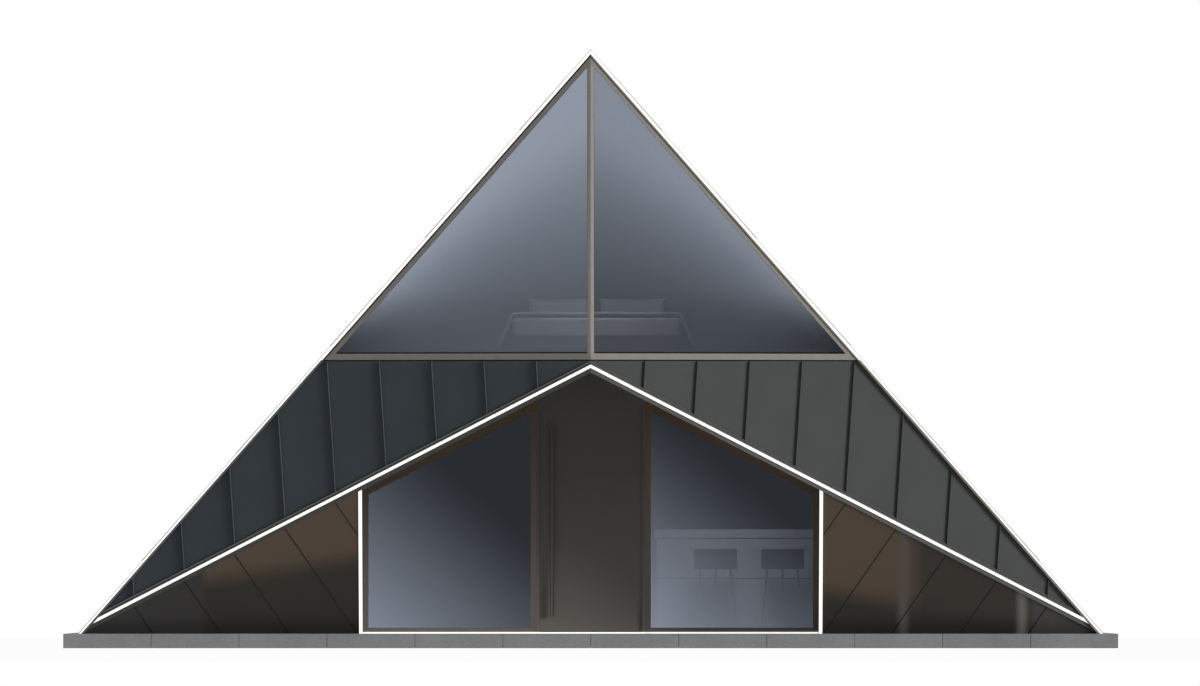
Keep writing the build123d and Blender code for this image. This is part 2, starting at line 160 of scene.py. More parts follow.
class CabinSizes(bpy.types.PropertyGroup):
    """Sizes of the pieces that finish the cabin"""
    seam_width: length_setting("Seam width", "Thickness of a standing seam's folded top", 8)
    seam_height: length_setting("Seam height", "How far a standing seam rises off its sheet", 25)
    # The roof's seams are low and black: painted shade for the shade of taller seams.
    roof_seam_width: length_setting("Roof seam width", "Width of the caps on the roof's seams", 20)
    roof_seam_height: length_setting("Roof seam height", "Height of the same, kept low", 4)
    seam_spacing: length_setting("Seam spacing", "Distance between seams", 522)
    first_seam: length_setting("First seam", "From the centre line to the facade's first seam", 540)
    facade_lean: bpy.props.FloatProperty(
        name="Facade lean", description="How far a facade seam runs inwards for each unit down",
        default=0.063)
    soffit_lean: bpy.props.FloatProperty(
        name="Soffit lean", description="How far a soffit joint runs inwards for each unit down",
        default=0.69)
    joint_width: length_setting("Joint width", "Width of the sealed joints between soffit sheets", 14)
    edge_width: length_setting("Edge width", "Width of the pale strip on the roof sheets' edges", 7)
    bead_width: length_setting("Bead width", "Width of the bead beside the roof's light strip", 22)
    bead_height: length_setting("Bead height", "Height of that bead's crest over the facade", 37)
    upper_bead_height: length_setting("Upper bead height", "The same beside the upper window", 12)
    lip_width: length_setting("Lip width", "Width of the slim lips beside the folded trim's light", 4)
    gasket_width: length_setting("Gasket width", "Width of the rubber seal round each pane", 10)
    gasket_height: length_setting("Gasket height", "How far that seal stands off the glass", 8)
    rivet_radius: length_setting("Rivet radius", "Radius of the ridge cap's rivet heads", 6)
    rivet_spacing: length_setting("Rivet spacing", "Distance between the ridge cap's rivets", 261)
    rose_radius: length_setting("Rose radius", "Radius of the door handle's fixing roses", 17)
    lining_width: length_setting("Lining width", "Width of the linings on the door's posts", 31)
    stone_joint: length_setting("Stone joint", "Open joint between the plinth's stones", 5)
    stones_across: number_setting("Stones across", "Number of stones along the plinth's front", 12)
    stones_deep: number_setting("Stones deep", "Number of stones along the plinth's side", 9)
    front_joint: length_setting("Front joint", "Gap between the counter's fronts", 10)
    duvet_loft: length_setting("Duvet thickness", "Thickness of the duvet", 36)
    duvet_fold: length_setting("Duvet folds", "Depth of the folds in the duvet's hanging sides", 16)
    pillow_cap: length_setting("Pillow swell", "How far a pillow's skin may swell", 14)
    weave: length_setting("Weave", "Thread spacing of the linen, drawn coarse enough to show", 3)


class CabinColours(bpy.types.PropertyGroup):
    """Colours of the cabin's finishes"""
    graphite: colour_setting("Graphite", "Coated steel of the facade and roof", "#4C4E4D")
    # Painted sky reflection: the graphite of the left facet, a little bluer.
    graphite_left: colour_setting("Graphite, left", "The same on the left facet", "#4B5156")
    trim: colour_setting("Trim", "Coated steel of the folded trim", "#585A59")
    champagne: colour_setting("Champagne", "Anodised frames of the upper window", "#88857E")
    # Painted light: the champagne painted paler, for the lit mullion and the left fold bead's lit edge.
    mullion: colour_setting("Mullion", "Anodised post in the middle of the upper window", "#928F87")
    bead: colour_setting("Verge bead", "Anodised bead beside the roof's light strip", "#625D54")
    bronze_low: colour_setting("Bronze, low", "Entry frames near the floor", "#7A756E")
    # Painted shade: the bronze near the sheltered heads.
    bronze_shaded: colour_setting("Bronze, high", "Entry frames near their heads", "#645036")
    soffit: colour_setting("Soffit brown", "Coated steel under the facade", "#635548")
    soffit_deep: colour_setting("Soffit deep", "Its duller sheets on the right", "#423E39")
    soffit_grey: colour_setting("Soffit grey", "The same steel near the roof's feet", "#535150")
    # Painted reflection of the plinth and its shadow in the satin steel.
    soffit_plinth_reflection: colour_setting("Soffit dark", "The same steel near the plinth", "#383531")
    # Painted reflections of the light strips in the satin steel.
    soffit_reflection_streak: colour_setting("Soffit streak", "Pale streaks on the right soffit", "#605C59")
    edge: colour_setting("Edge strip", "Pale strip along the roof sheets' front edges", "#E1E1DE")
    opal: colour_setting("Opal", "Light diffusers", "#FFFDF8")
    # The glass colours are painted reflections, from the darkest to the lightest.
    glass_dark: colour_setting("Glass, dark", "Coated glass where it mirrors least", "#2D3035")
    glass_light: colour_setting("Glass, light", "Coated glass where it mirrors most", "#A7B1C1")
    granite: colour_setting("Granite", "Sawn stone of the plinth", "#8A8B8D")
    door: colour_setting("Door", "Door leaf's skin", "#56524E")
    wall_board: colour_setting("Wall board", "Painted board of the ceilings and walls", "#8E9094")
    oak: colour_setting("Oak", "Floor boards", "#85735F")
    linen: colour_setting("Linen", "Bedding", "#B4B7BD")
    laminate: colour_setting("Laminate", "Counter fronts", "#9094A0")
    walnut: colour_setting("Walnut", "Bed frame and headboard", "#57493D")
    shell: colour_setting("Shell", "Moulded seats", "#2A2C30")
    black: colour_setting("Black", "Powder-coated steel of the handle", "#1B1B1C")
    rubber: colour_setting("Rubber", "Seals and sealed joints", "#1C1D1E")
    steel: colour_setting("Steel", "Stainless steel of the hinges", "#9A9996")


def shade(colour, share):
    """A colour made lighter or darker, with its alpha."""
    return [part * share for part in colour] + [1.0]


# --- Mesh helpers ---
def mesh_from(form):
    mesh = bpy.data.meshes.new("piece")
    form.to_mesh(mesh)
    form.free()
    return mesh


def joined(meshes):
    """One mesh from several."""
    form = bmesh.new()
    for mesh in meshes:
        form.from_mesh(mesh)
        bpy.data.meshes.remove(mesh)
    return mesh_from(form)


def mirrored(mesh):
    """The same shape on the other side of x = 0, facing outwards."""
    twin = mesh.copy()
    twin.transform(Matrix.Scale(-1, 4, RIGHT))
    twin.flip_normals()
    return twin


def both_sides(mesh):
    return joined([mirrored(mesh), mesh])


def linked(name, data):
    """A new object in the scene."""
    made = bpy.data.objects.new(name, data)
    bpy.context.scene.collection.objects.link(made)
    return made


def evaluated(holder):
    """The mesh that an object's modifiers make. The object is removed."""
    graph = bpy.context.evaluated_depsgraph_get()
    made = bpy.data.meshes.new_from_object(holder.evaluated_get(graph), depsgraph=graph)
    bpy.data.objects.remove(holder)
    return made


def piece(name, mesh, finish, slot, body="root"):
    """Link a mesh as a finished piece that rides on a body."""
    made = linked(name, mesh)
    mesh.materials.clear()
    mesh.materials.append(FINISHES[finish])
    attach(made, body)
    return made


def pair(name, mesh, left, right, slot):
    """A right piece and its mirror image, each in its own finish."""
    piece(name + "_left", mirrored(mesh), left, slot)
    piece(name + "_right", mesh, right, slot)


def bar(start, end, across, up, profile, cuts):
    """Straight bar with a closed profile of (across, up) points, cut off by planes."""
    form = bmesh.new()
    rings = [[form.verts.new(place + across * a + up * b) for a, b in profile] for place in (start, end)]
    for here in range(len(profile)):
        there = (here + 1) % len(profile)
        form.faces.new((rings[0][here], rings[0][there], rings[1][there], rings[1][here]))
    for ring in rings:
        form.faces.new(ring)
    for place, normal in cuts:
        everything = form.verts[:] + form.edges[:] + form.faces[:]
        cut = bmesh.ops.bisect_plane(
            form, geom=everything, plane_co=place, plane_no=normal, clear_outer=True)
        rim_edges = [part for part in cut["geom_cut"] if isinstance(part, bmesh.types.BMEdge)]
        bmesh.ops.edgeloop_fill(form, edges=rim_edges)
    bmesh.ops.recalc_face_normals(form, faces=form.faces[:])
    return mesh_from(form)


def front_bar(plane, start, end, toward, profile, *cuts):
    """Bar on a plane, cut off at the middle, at the plinth and by the cuts given.

    The first numbers of its profile are measured square to it, toward a direction.
    """
    across = (end - start).normalized().cross(plane[1])
    if across.dot(toward) < 0:
        across.negate()
    cuts = ((Vector(), -RIGHT), (UP * GROUND, -UP), *cuts)
    return bar(start, end, across, plane[1], profile, cuts)


def rim(corners, normal, width, height):
    """Raised rim just inside a flat outline."""
    form = bmesh.new()
    pane = form.faces.new([form.verts.new(corner) for corner in corners])
    bmesh.ops.inset_individual(form, faces=[pane], thickness=width, use_even_offset=True)
    bmesh.ops.delete(form, geom=[pane], context="FACES_ONLY")
    raised = bmesh.ops.extrude_face_region(form, geom=form.faces[:], use_keep_orig=True)
    points = [part for part in raised["geom"] if isinstance(part, bmesh.types.BMVert)]
    bmesh.ops.translate(form, verts=points, vec=normal * height)
    bmesh.ops.recalc_face_normals(form, faces=form.faces[:])
    return mesh_from(form)


def box(corner, far):
    """Upright box between two corners."""
    form = bmesh.new()
    verts = bmesh.ops.create_cube(form, size=1.0)["verts"]
    bmesh.ops.scale(form, verts=verts, vec=far - corner)
    bmesh.ops.translate(form, verts=verts, vec=(corner + far) / 2)
    return mesh_from(form)


def soften(made, width, segments):
    """Round a piece's edges with a live bevel."""
    edges = made.modifiers.new("soft edges", "BEVEL")
    edges.width = width
    edges.segments = segments


def settled(mesh, kind, **settings):
    """The mesh after one modifier has been applied to it."""
    holder = linked("holder", mesh)
    modifier = holder.modifiers.new("step", kind)
    for name, value in settings.items():
        setattr(modifier, name, value)
    made = evaluated(holder)
    bpy.data.meshes.remove(mesh)
    return made


# --- Nodes ---
MAP_RANGE = "ShaderNodeMapRange"
MIX = "ShaderNodeMix"
RAMP = "ShaderNodeValToRGB"
SPLIT = "ShaderNodeSeparateXYZ"
COMBINE = "ShaderNodeCombineXYZ"
TRANSFORM = "GeometryNodeTransform"
ON_POINTS = "GeometryNodeInstanceOnPoints"


def feed(tree, value, socket):
    """Give a socket a value, another socket, or a node's first output."""
    if isinstance(value, bpy.types.Node):
        value = value.outputs[0]
    if isinstance(value, bpy.types.NodeSocket):
        tree.links.new(value, socket)
    else:
        socket.default_value = value


def add(tree, kind, inputs=(), stops=(), **settings):
    """Add one node, or a math node whose operation is the kind where that is in capitals.

    inputs maps a socket's name or number to what feed takes, or lists that for the first sockets.
    """
    if kind.isupper():
        kind, settings["operation"] = "ShaderNodeMath", kind
    made = tree.nodes.new(kind)
    for name, value in settings.items():
        setattr(made, name, value)
    for key, value in inputs.items() if isinstance(inputs, dict) else enumerate(inputs):
        feed(tree, value, made.inputs[key])
    for place, (position, colour) in enumerate(stops):
        if place >= len(made.color_ramp.elements):
            made.color_ramp.elements.new(position)
        made.color_ramp.elements[place].position = position
        made.color_ramp.elements[place].color = colour
    return made


def grain(tree, place, size, detail, stretch=(1, 1, 1)):
    """Random pattern about size metres across, longer where stretch is over 1."""
    scale = [1 / (size * length) for length in stretch]
    moved = add(tree, "ShaderNodeMapping", {"Vector": place, "Scale": scale})
    return add(tree, "ShaderNodeTexNoise", {"Vector": moved, "Scale": 1.0, "Detail": detail})


def mottle(tree, place, colour, size, spread=0.06, stretch=(1, 1, 1), detail=3.0):
    """A colour varied by a share of itself, in blobs of about size metres."""
    stops = ((0.3, shade(colour, 1 - spread)), (0.7, shade(colour, 1 + spread)))
    return add(tree, RAMP, {"Fac": grain(tree, place, size, detail, stretch)}, stops)


def plain(colour, *blobs, share=1, glow=False, relief=None):
    """Pattern of one mottled colour, shed as light too where it glows. blobs are for mottle.

    relief is a grain's size, detail and stretch, and the strength and depth of its bumps.
    """
    def pattern(tree, place, colours):
        own = getattr(colours, colour)
        made = {"Base Color": mottle(tree, place, shade(own, share)[:3], *blobs)}
        if glow:
            made["Emission Color"] = shade(own, 1)
        if relief:
            *grained, strength, depth = relief
            made["Height"] = grain(tree, place, *grained), strength, depth
        return made
    return pattern


def start_tree(made):
    """The empty node tree of a material or a world."""
    made.use_nodes = True
    made.node_tree.nodes.clear()
    return made.node_tree


def finish_of(name, sockets, pattern, colours):
    """A material with these constants, and what its pattern makes of the object's coordinates."""
    made = bpy.data.materials.new(name)
    tree = start_tree(made)
    place = add(tree, "ShaderNodeTexCoord").outputs["Object"]
    inputs = {**sockets, **pattern(tree, place, colours)}
    if "Height" in inputs:
        height, strength, depth = inputs.pop("Height")
        inputs["Normal"] = add(tree, "ShaderNodeBump", {
            "Height": height, "Strength": strength, "Distance": depth})
    shader = add(tree, "ShaderNodeBsdfPrincipled", inputs)
    add(tree, "ShaderNodeOutputMaterial", {"Surface": shader})
    return made


# --- Patterns of the finishes that vary with place ---
def by_height(tree, place, top_node, stops):
    """Colour that changes with height, from the plinth's top to a node's."""
    height = add(tree, SPLIT, (place,)).outputs["Z"]
    share = add(tree, MAP_RANGE, (height, GROUND, high(top_node).z))
    return add(tree, RAMP, {"Fac": share}, stops)


def bronze_pattern(tree, place, colours):
    # Painted shade: browner and darker towards the heads, which the porch shelters.
    stops = ((0.0, shade(colours.bronze_low, 1)), (1.0, shade(colours.bronze_shaded, 1)))
    lines = grain(tree, place, 2 * MM, 1.0, (1, 1, 30))
    return {
        "Base Color": by_height(tree, place, "door_head_panel", stops), "Height": (lines, 0.06, 0.2 * MM)}


def soffit_pattern(tree, place, colours):
    # Darker from about 3.1 m to the right, plain grey at the roof's feet with painted shade on the left, a
    # painted reflection of the plinth and its shadow near the plinth, and two pale streaks on the right that
    # are painted reflections of the light strips. First, metres to the right of the centre line.
    deep_start, deep_end = 3.13, 3.34
    grey_middle, grey_start, grey_end = 0.27, 4.1, 4.18
    first_streak, streak_gap, half_streak, streaks_start, pale_start = 3.13, 0.595, 0.09, 2.6, 3.7
    # Shares of their colours that the grey has on the left, as painted shade, and the outer streak.
    left_grey, outer_streak = 0.58, 1.75
    # Heights at which the dark part, the painted reflection of the plinth, starts and is full on the centre
    # line, its fall for each metre outwards, and how much higher it is on the left.
    dark_start, dark_full, dark_fall, left_rise = 1.1, 0.82, 0.16, 0.33
    x, _, z = add(tree, SPLIT, (place,)).outputs
    across = add(tree, MAP_RANGE, (x, deep_start, deep_end))
    stops = ((0.0, shade(colours.soffit, 1)), (1.0, shade(colours.soffit_deep, 1)))
    body = add(tree, RAMP, {"Fac": across}, stops)
    aside = add(tree, "ABSOLUTE", (x,))
    is_left = add(tree, "LESS_THAN", (x, 0.0))
    level = add(tree, "MULTIPLY_ADD", (aside, dark_fall, z))
    level = add(tree, "MULTIPLY_ADD", (is_left, -left_rise, level))
    dark = add(tree, MAP_RANGE, (level, dark_start, dark_full), interpolation_type="SMOOTHSTEP")
    # The painted reflection of the plinth and its shadow.
    low_part = mottle(tree, place, colours.soffit_plinth_reflection, 0.4, 0.04)
    off_middle = add(tree, "SUBTRACT", (x, grey_middle))
    off_middle = add(tree, "ABSOLUTE", (off_middle,))
    end = add(tree, MAP_RANGE, (off_middle, grey_start, grey_end))
    # The pale streaks: painted reflections of the light strips.
    off_streak = add(tree, "SUBTRACT", (x, first_streak))
    off_streak = add(tree, "PINGPONG", (off_streak, streak_gap))
    streak = add(tree, MAP_RANGE, (off_streak, half_streak, 0.0), interpolation_type="SMOOTHSTEP")
    outside = add(tree, "GREATER_THAN", (x, streaks_start))
    streak = add(tree, "MULTIPLY", (streak, outside))
    is_outer = add(tree, "GREATER_THAN", (x, pale_start))
    grey, pale = colours.soffit_grey, colours.soffit_reflection_streak
    greyer = {"Factor": is_left, 6: shade(grey, 1), 7: shade(grey, left_grey)}
    paler = {"Factor": is_outer, 6: shade(pale, 1), 7: shade(pale, outer_streak)}
    end_tone, streak_tone = (
        add(tree, MIX, tones, data_type="RGBA").outputs[2] for tones in (greyer, paler))
    colour = body
    for share, over in ((dark, low_part), (end, end_tone), (streak, streak_tone)):
        colour = add(tree, MIX, {"Factor": share, 6: colour, 7: over}, data_type="RGBA").outputs[2]
    return {"Base Color": colour, "Height": (grain(tree, place, 0.6, 1.0), 0.1, 2 * MM)}


def mirrored_tone(tree, brightness, colours, coated=None):
    """Colour of coated glass from dark to light, even to the eye: a painted reflection. coated is 1 on its
    coated face.
    """
    evenness = 1.5
    bright = add(tree, "MAXIMUM", (brightness, 0.0))
    share = add(tree, "POWER", (bright, evenness), use_clamp=True)
    stops = ((0.0, shade(colours.glass_dark, 1)), (1.0, shade(colours.glass_light, 1)))
    made = {"Base Color": add(tree, RAMP, {"Fac": share}, stops)}
    if coated:
        coating_alpha = 0.84
        made["Alpha"] = add(tree, "MULTIPLY", (coated, coating_alpha))
    return made


def gable_glass_pattern(tree, place, colours):
    # A soft blue-grey mirror whose reflection is painted into its colour: brighter beside the roof and at
    # the top, a little dimmer on the right.
    x, y, z = add(tree, SPLIT, (place,)).outputs
    sill = low("gable_glass").z
    # Lengths in metres, and shares of the way from the dark colour to the light one.
    low_start, low_tone, ridge_tone = 0.5, 0.34, 0.9
    fade_length, edge_height, sill_tone, edge_tone = 0.56, 0.7, -0.26, 0.52
    climb = add(tree, MAP_RANGE, (z, sill + low_start, RIDGE, low_tone, ridge_tone))
    below_ridge = add(tree, "SUBTRACT", (RIDGE, z))
    span = add(tree, "DIVIDE", (below_ridge, math.tan(PITCH)))
    aside = add(tree, "ABSOLUTE", (x,))
    inside = add(tree, "SUBTRACT", (span, aside))
    fade = add(tree, "DIVIDE", (inside, -fade_length))
    near_roof = add(tree, "EXPONENT", (fade,))
    above_sill = add(
        tree, MAP_RANGE, (z, sill, sill + edge_height, sill_tone, edge_tone),
        interpolation_type="SMOOTHSTEP")
    edge = add(tree, "MULTIPLY_ADD", (near_roof, above_sill, climb))
    brightest, rounding, dimmer_right = 0.89, 0.2, -0.11
    even = add(tree, "SMOOTH_MIN", (edge, brightest, rounding))
    is_right = add(tree, "GREATER_THAN", (x, 0.0))
    bright = add(tree, "MULTIPLY_ADD", (is_right, dimmer_right, even))
    # The coating is on the outer face, which the half of the thickness next to it stands for.
    start, normal = (Vector((abs(v.x), v.y, v.z)) for v in face_plane("gable_glass", FRONTWARD))
    spot = add(tree, COMBINE, (aside, y, z))
    outward = add(tree, "ShaderNodeVectorMath", {0: spot, 1: normal}, operation="DOT_PRODUCT")
    coated = add(tree, "GREATER_THAN", (outward.outputs["Value"], start.dot(normal) - 12 * MM))
    return mirrored_tone(tree, bright, colours, coated)


def porch_glass_pattern(tree, place, colours):
    # Painted reflection: each pane is painted lighter low and to its left, where it mirrors the open ground.
    x, y, z = add(tree, SPLIT, (place,)).outputs
    first = low("window_glass").x
    pitch = low("window_frame_right").x - first
    moved = add(tree, "SUBTRACT", (x, first))
    panes = add(tree, "DIVIDE", (moved, pitch))
    along = add(tree, "FRACT", (panes,))
    at_floor, per_metre_up, across_pane = 0.792, -0.316, -0.76
    fall = add(tree, "MULTIPLY_ADD", (z, per_metre_up, at_floor))
    bright = add(tree, "MULTIPLY_ADD", (along, across_pane, fall))
    middle = (low("window_glass").y + high("window_glass").y) / 2
    coated = add(tree, "LESS_THAN", (y, middle))
    return mirrored_tone(tree, bright, colours, coated)


def rear_glass_pattern(tree, place, colours):
    # A middling mirror, all over alike.
    return mirrored_tone(tree, grain(tree, place, 2.0, 0.0), colours)


def granite_pattern(tree, place, colours):
    # A fine dark and light speckle and faint cloudy patches.
    speck = grain(tree, place, 14 * MM, 4.0, (2.5, 2.5, 1))
    speck_share = 0.6
    fine = add(tree, "MULTIPLY", (speck, speck_share))
    mixed = add(tree, "MULTIPLY_ADD", (grain(tree, place, 0.35, 2.0), 1 - speck_share, fine))
    stops = ((0.35, shade(colours.granite, 0.86)), (0.65, shade(colours.granite, 1.12)))
    return {"Base Color": add(tree, RAMP, {"Fac": mixed}, stops), "Height": (speck, 0.3, MM)}


def oak_pattern(tree, place, colours):
    # Boards that run to the rear: long grain and dark joints.
    board_width, board_edge = 180 * MM, 0.488
    figure = mottle(tree, place, colours.oak, 12 * MM, 0.14, (1, 30, 1), 4.0)
    across = add(tree, SPLIT, (place,)).outputs["X"]
    boards = add(tree, "DIVIDE", (across, board_width))
    board = add(tree, "FRACT", (boards,))
    off_middle = add(tree, "SUBTRACT", (board, 0.5))
    aside = add(tree, "ABSOLUTE", (off_middle,))
    joint = add(tree, "GREATER_THAN", (aside, board_edge))
    dark = mottle(tree, place, shade(colours.oak, 0.25)[:3], 12 * MM)
    colour = add(tree, MIX, {"Factor": joint, 6: figure, 7: dark}, data_type="RGBA")
    return {"Base Color": colour.outputs[2]}


def door_pattern(tree, place, colours):
    # Lighter near the floor, where more light falls, with the faint waves of thin sheet.
    tones = ((0.0, 2.15), (0.4, 1.06), (0.72, 0.63), (1.0, 0.95))
    stops = [(mark, shade(colours.door, tone)) for mark, tone in tones]
    waves = grain(tree, place, 0.5, 1.0, (1, 1, 3))
    return {"Base Color": by_height(tree, place, "door_leaf", stops), "Height": (waves, 0.1, MM)}


def linen_pattern(tree, place, colours):
    # A slubby weave, of threads that cross.
    weave = bpy.context.scene.cabin_sizes.weave
    warp = grain(tree, place, weave, 1.0, (1, 1, 8))
    weft = grain(tree, place, weave, 1.0, (8, 8, 1))
    threads = add(tree, "ADD", (warp, weft))
    return {"Base Color": mottle(tree, place, colours.linen, 0.04), "Height": (threads, 0.3, 0.5 * MM)}


# --- Finishes: name, the shader's constants, pattern, and the frame nodes that take it ---
SHEET = {"Roughness": 0.6, "Specular IOR Level": 0.1}
WAVES = (0.5, 1.0, (1, 1, 3), 0.15, 2 * MM)
EXTRUSION = {"Roughness": 0.5, "Metallic": 0.15, "Specular IOR Level": 0.2}
DRAWN = (2 * MM, 1.0, (8, 8, 8), 0.08, 0.2 * MM)
MIRROR = {"Roughness": 0.04, "Metallic": 1.0}
RECIPES = {
    # Coil-coated standing-seam steel: dull and even, with the faint waves of thin sheet.
    "graphite": ("Graphite coated steel", SHEET, plain("graphite", 0.4, 0.04, relief=WAVES), (
        "facade_panel_right", "rear_wall", "ridge_cap", "roof_cladding_left", "roof_cladding_right")),
    # The same steel on the left facet, painted a little bluer: a painted reflection of the open sky that it
    # faces.
    "graphite with painted sky": (
        "Graphite coated steel, sky side", SHEET,
        plain("graphite_left", 0.4, 0.04, relief=WAVES), ("facade_panel_left",)),
    # The same steel, folded: a shade lighter.
    "trim": (
        "Folded graphite steel", SHEET, plain("trim", 0.4, 0.04, relief=WAVES), ("chevron_trim",)),
    # Anodised extrusion: satin, a warm grey, with very fine lines drawn along it.
    "champagne": (
        "Champagne anodised aluminium", EXTRUSION, plain("champagne", 0.08, 0.04, relief=DRAWN),
        ("gable_frame", "gable_transom", "rear_window_frame", "verge_trim")),
    # The same, painted a little paler: painted light on the lit mullion, and a painted highlight on the left
    # fold bead.
    "mullion": (
        "Pale champagne anodised aluminium", EXTRUSION,
        plain("mullion", 0.08, 0.04, relief=DRAWN), ("gable_mullion",)),
    # The same, much darker.
    "bead": (
        "Dark champagne anodised bead", EXTRUSION, plain("bead", 0.08, 0.04, relief=DRAWN), ()),
    # Bronze anodising on the entry frames: satin, a brownish grey, with painted shade towards their heads.
    "bronze": (
        "Bronze anodised aluminium", {"Roughness": 0.45, "Metallic": 0.15, "Specular IOR Level": 0.2},
        bronze_pattern,
        ("window_frame_left", "window_frame_right", "door_post_left", "door_post_right", "threshold")),
    # Brown coated steel: satin, with tones that change across it, among them painted reflections and painted
    # shade.
    "soffit": (
        "Brown coated steel", {"Roughness": 0.45, "Specular IOR Level": 0.1}, soffit_pattern,
        ("soffit_left", "soffit_right", "porch_ceiling", "porch_wall_left", "porch_wall_right")),
    # Edge strip: a pale grey that glows a little, painted light that keeps it pale where it is shaded.
    "edge": (
        "Pale translucent edge strip", {"Roughness": 0.6, "Emission Strength": 0.55},
        plain("edge", 0.3, 0.02, share=0.2, glow=True), ()),
    # Opal acrylic lit from behind: an even white, with no lamps to be seen.
    "opal": (
        "Opal light diffuser", {"Roughness": 0.5, "Emission Strength": 1.0},
        plain("opal", 0.5, 0.02, share=0.3, glow=True),
        ("verge_light", "chevron_light", "porch_light", "sill_light")),
    # Solar-control glass: a smooth mirror that the room shows through faintly.
    "gable glass": ("Coated gable glass", MIRROR, gable_glass_pattern, ("gable_glass",)),
    # The same glass at the entry.
    "porch glass": ("Coated porch glass", MIRROR, porch_glass_pattern, ("window_glass",)),
    # The same glass at the rear, nearly opaque.
    "rear glass": ("Coated rear glass", {**MIRROR, "Alpha": 0.9}, rear_glass_pattern, ("rear_glass",)),
    # Sawn granite: a matt, speckled grey.
    "granite": (
        "Sawn grey granite", {"Roughness": 0.8, "Specular IOR Level": 0.2}, granite_pattern,
        ("plinth",)),
    # Cement grout in the open joints: dark and dull.
    "grout": ("Cement grout", {"Roughness": 0.95}, plain("granite", 0.02, 0.1, share=0.35), ()),
    # Emulsion on board: matt, with the soft nap of a roller.
    "board": (
        "Painted board", {"Roughness": 0.85},
        plain("wall_board", 0.8, 0.03, relief=(3 * MM, 2.0, (1, 1, 1), 0.1, 0.3 * MM)),
        ("roof_panel_left", "roof_panel_right")),
    # Oiled oak boards 180 mm wide: satin, a warm brown.
    "oak": ("Oiled oak boards", {"Roughness": 0.5}, oak_pattern, ("ground_floor", "loft_floor")),
    # Bronze-coated aluminium sheet: satin and dark.
    "door": (
        "Dark bronze door skin", {"Roughness": 0.5}, door_pattern, ("door_leaf", "door_head_panel")),
    # Black powder coat: nearly black with a fine orange-peel.
    "black steel": (
        "Black powder-coated steel", {"Roughness": 0.5},
        plain("black", 0.05, 0.1, relief=(2 * MM, 1.0, (1, 1, 1), 0.1, 0.1 * MM)), ("door_handle",)),
    # EPDM seal: black and dull.
    "rubber": (
        "Black rubber seal", {"Roughness": 0.8, "Specular IOR Level": 0.2},
        plain("rubber", 0.03, 0.1), ()),
    # Brushed stainless steel: bright, with short lines round the barrel.
    "stainless": (
        "Brushed stainless steel", {"Roughness": 0.35, "Metallic": 1.0},
        plain("steel", MM, 0.08, (6, 6, 1)), ("hinge_pins", "hinge_knuckles")),
    # Walnut veneer: dark brown with long grain across the headboard.
    "walnut": (
        "Walnut veneer", {"Roughness": 0.5}, plain("walnut", 8 * MM, 0.2, (25, 25, 1), 4.0),
        ("bed_frame",)),
    # Matt laminate: smooth and even.
    "laminate": ("Matt laminate", {"Roughness": 0.55}, plain("laminate", 0.6, 0.02), ("counter",)),
    # Moulded plastic of the stools: dark and evenly satin.
    "shell": (
        "Dark moulded shell", {"Roughness": 0.5},
        plain("shell", 0.2, 0.04, relief=(1.5 * MM, 1.0, (1, 1, 1), 0.08, 0.1 * MM)), ("stools",)),
    # Washed linen: matt and soft.
    "linen": (
        "Washed linen", {"Roughness": 0.95, "Sheen Weight": 0.2}, linen_pattern,
        ("mattress", "duvet", "pillows")),
}
FINISHES = {}
TREES = {}


# --- Geometry Nodes ---
def start_group(name, sockets):
    """A new Geometry Nodes tree with named inputs, and those inputs' sockets."""
    tree = bpy.data.node_groups.new(name, "GeometryNodeTree")
    for label, kind in sockets.items():
        tree.interface.new_socket(label, in_out="INPUT", socket_type="NodeSocket" + kind)
    tree.interface.new_socket("Geometry", in_out="OUTPUT", socket_type="NodeSocketGeometry")
    return tree, add(tree, "NodeGroupInput").outputs


def row_group(name, sockets):
    """The same for what stands in a row along a step, with the row's points."""
    own = {"Count": "Int", "Start": "Vector", "Step": "Vector", "Normal": "Vector", "Finish": "Material"}
    tree, given = start_group(name, {**own, **sockets})
    row = add(tree, "GeometryNodeMeshLine", {
        "Count": given["Count"], "Start Location": given["Start"], "Offset": given["Step"]}, mode="OFFSET")
    return tree, given, row


def end_group(tree, instances, finish):
    """Make the instances real, give them their finish and put them out."""
    real = add(tree, "GeometryNodeRealizeInstances", {"Geometry": instances})
    coated = add(tree, "GeometryNodeSetMaterial", {"Geometry": real, "Material": finish})
    add(tree, "NodeGroupOutput", {"Geometry": coated})
    return tree


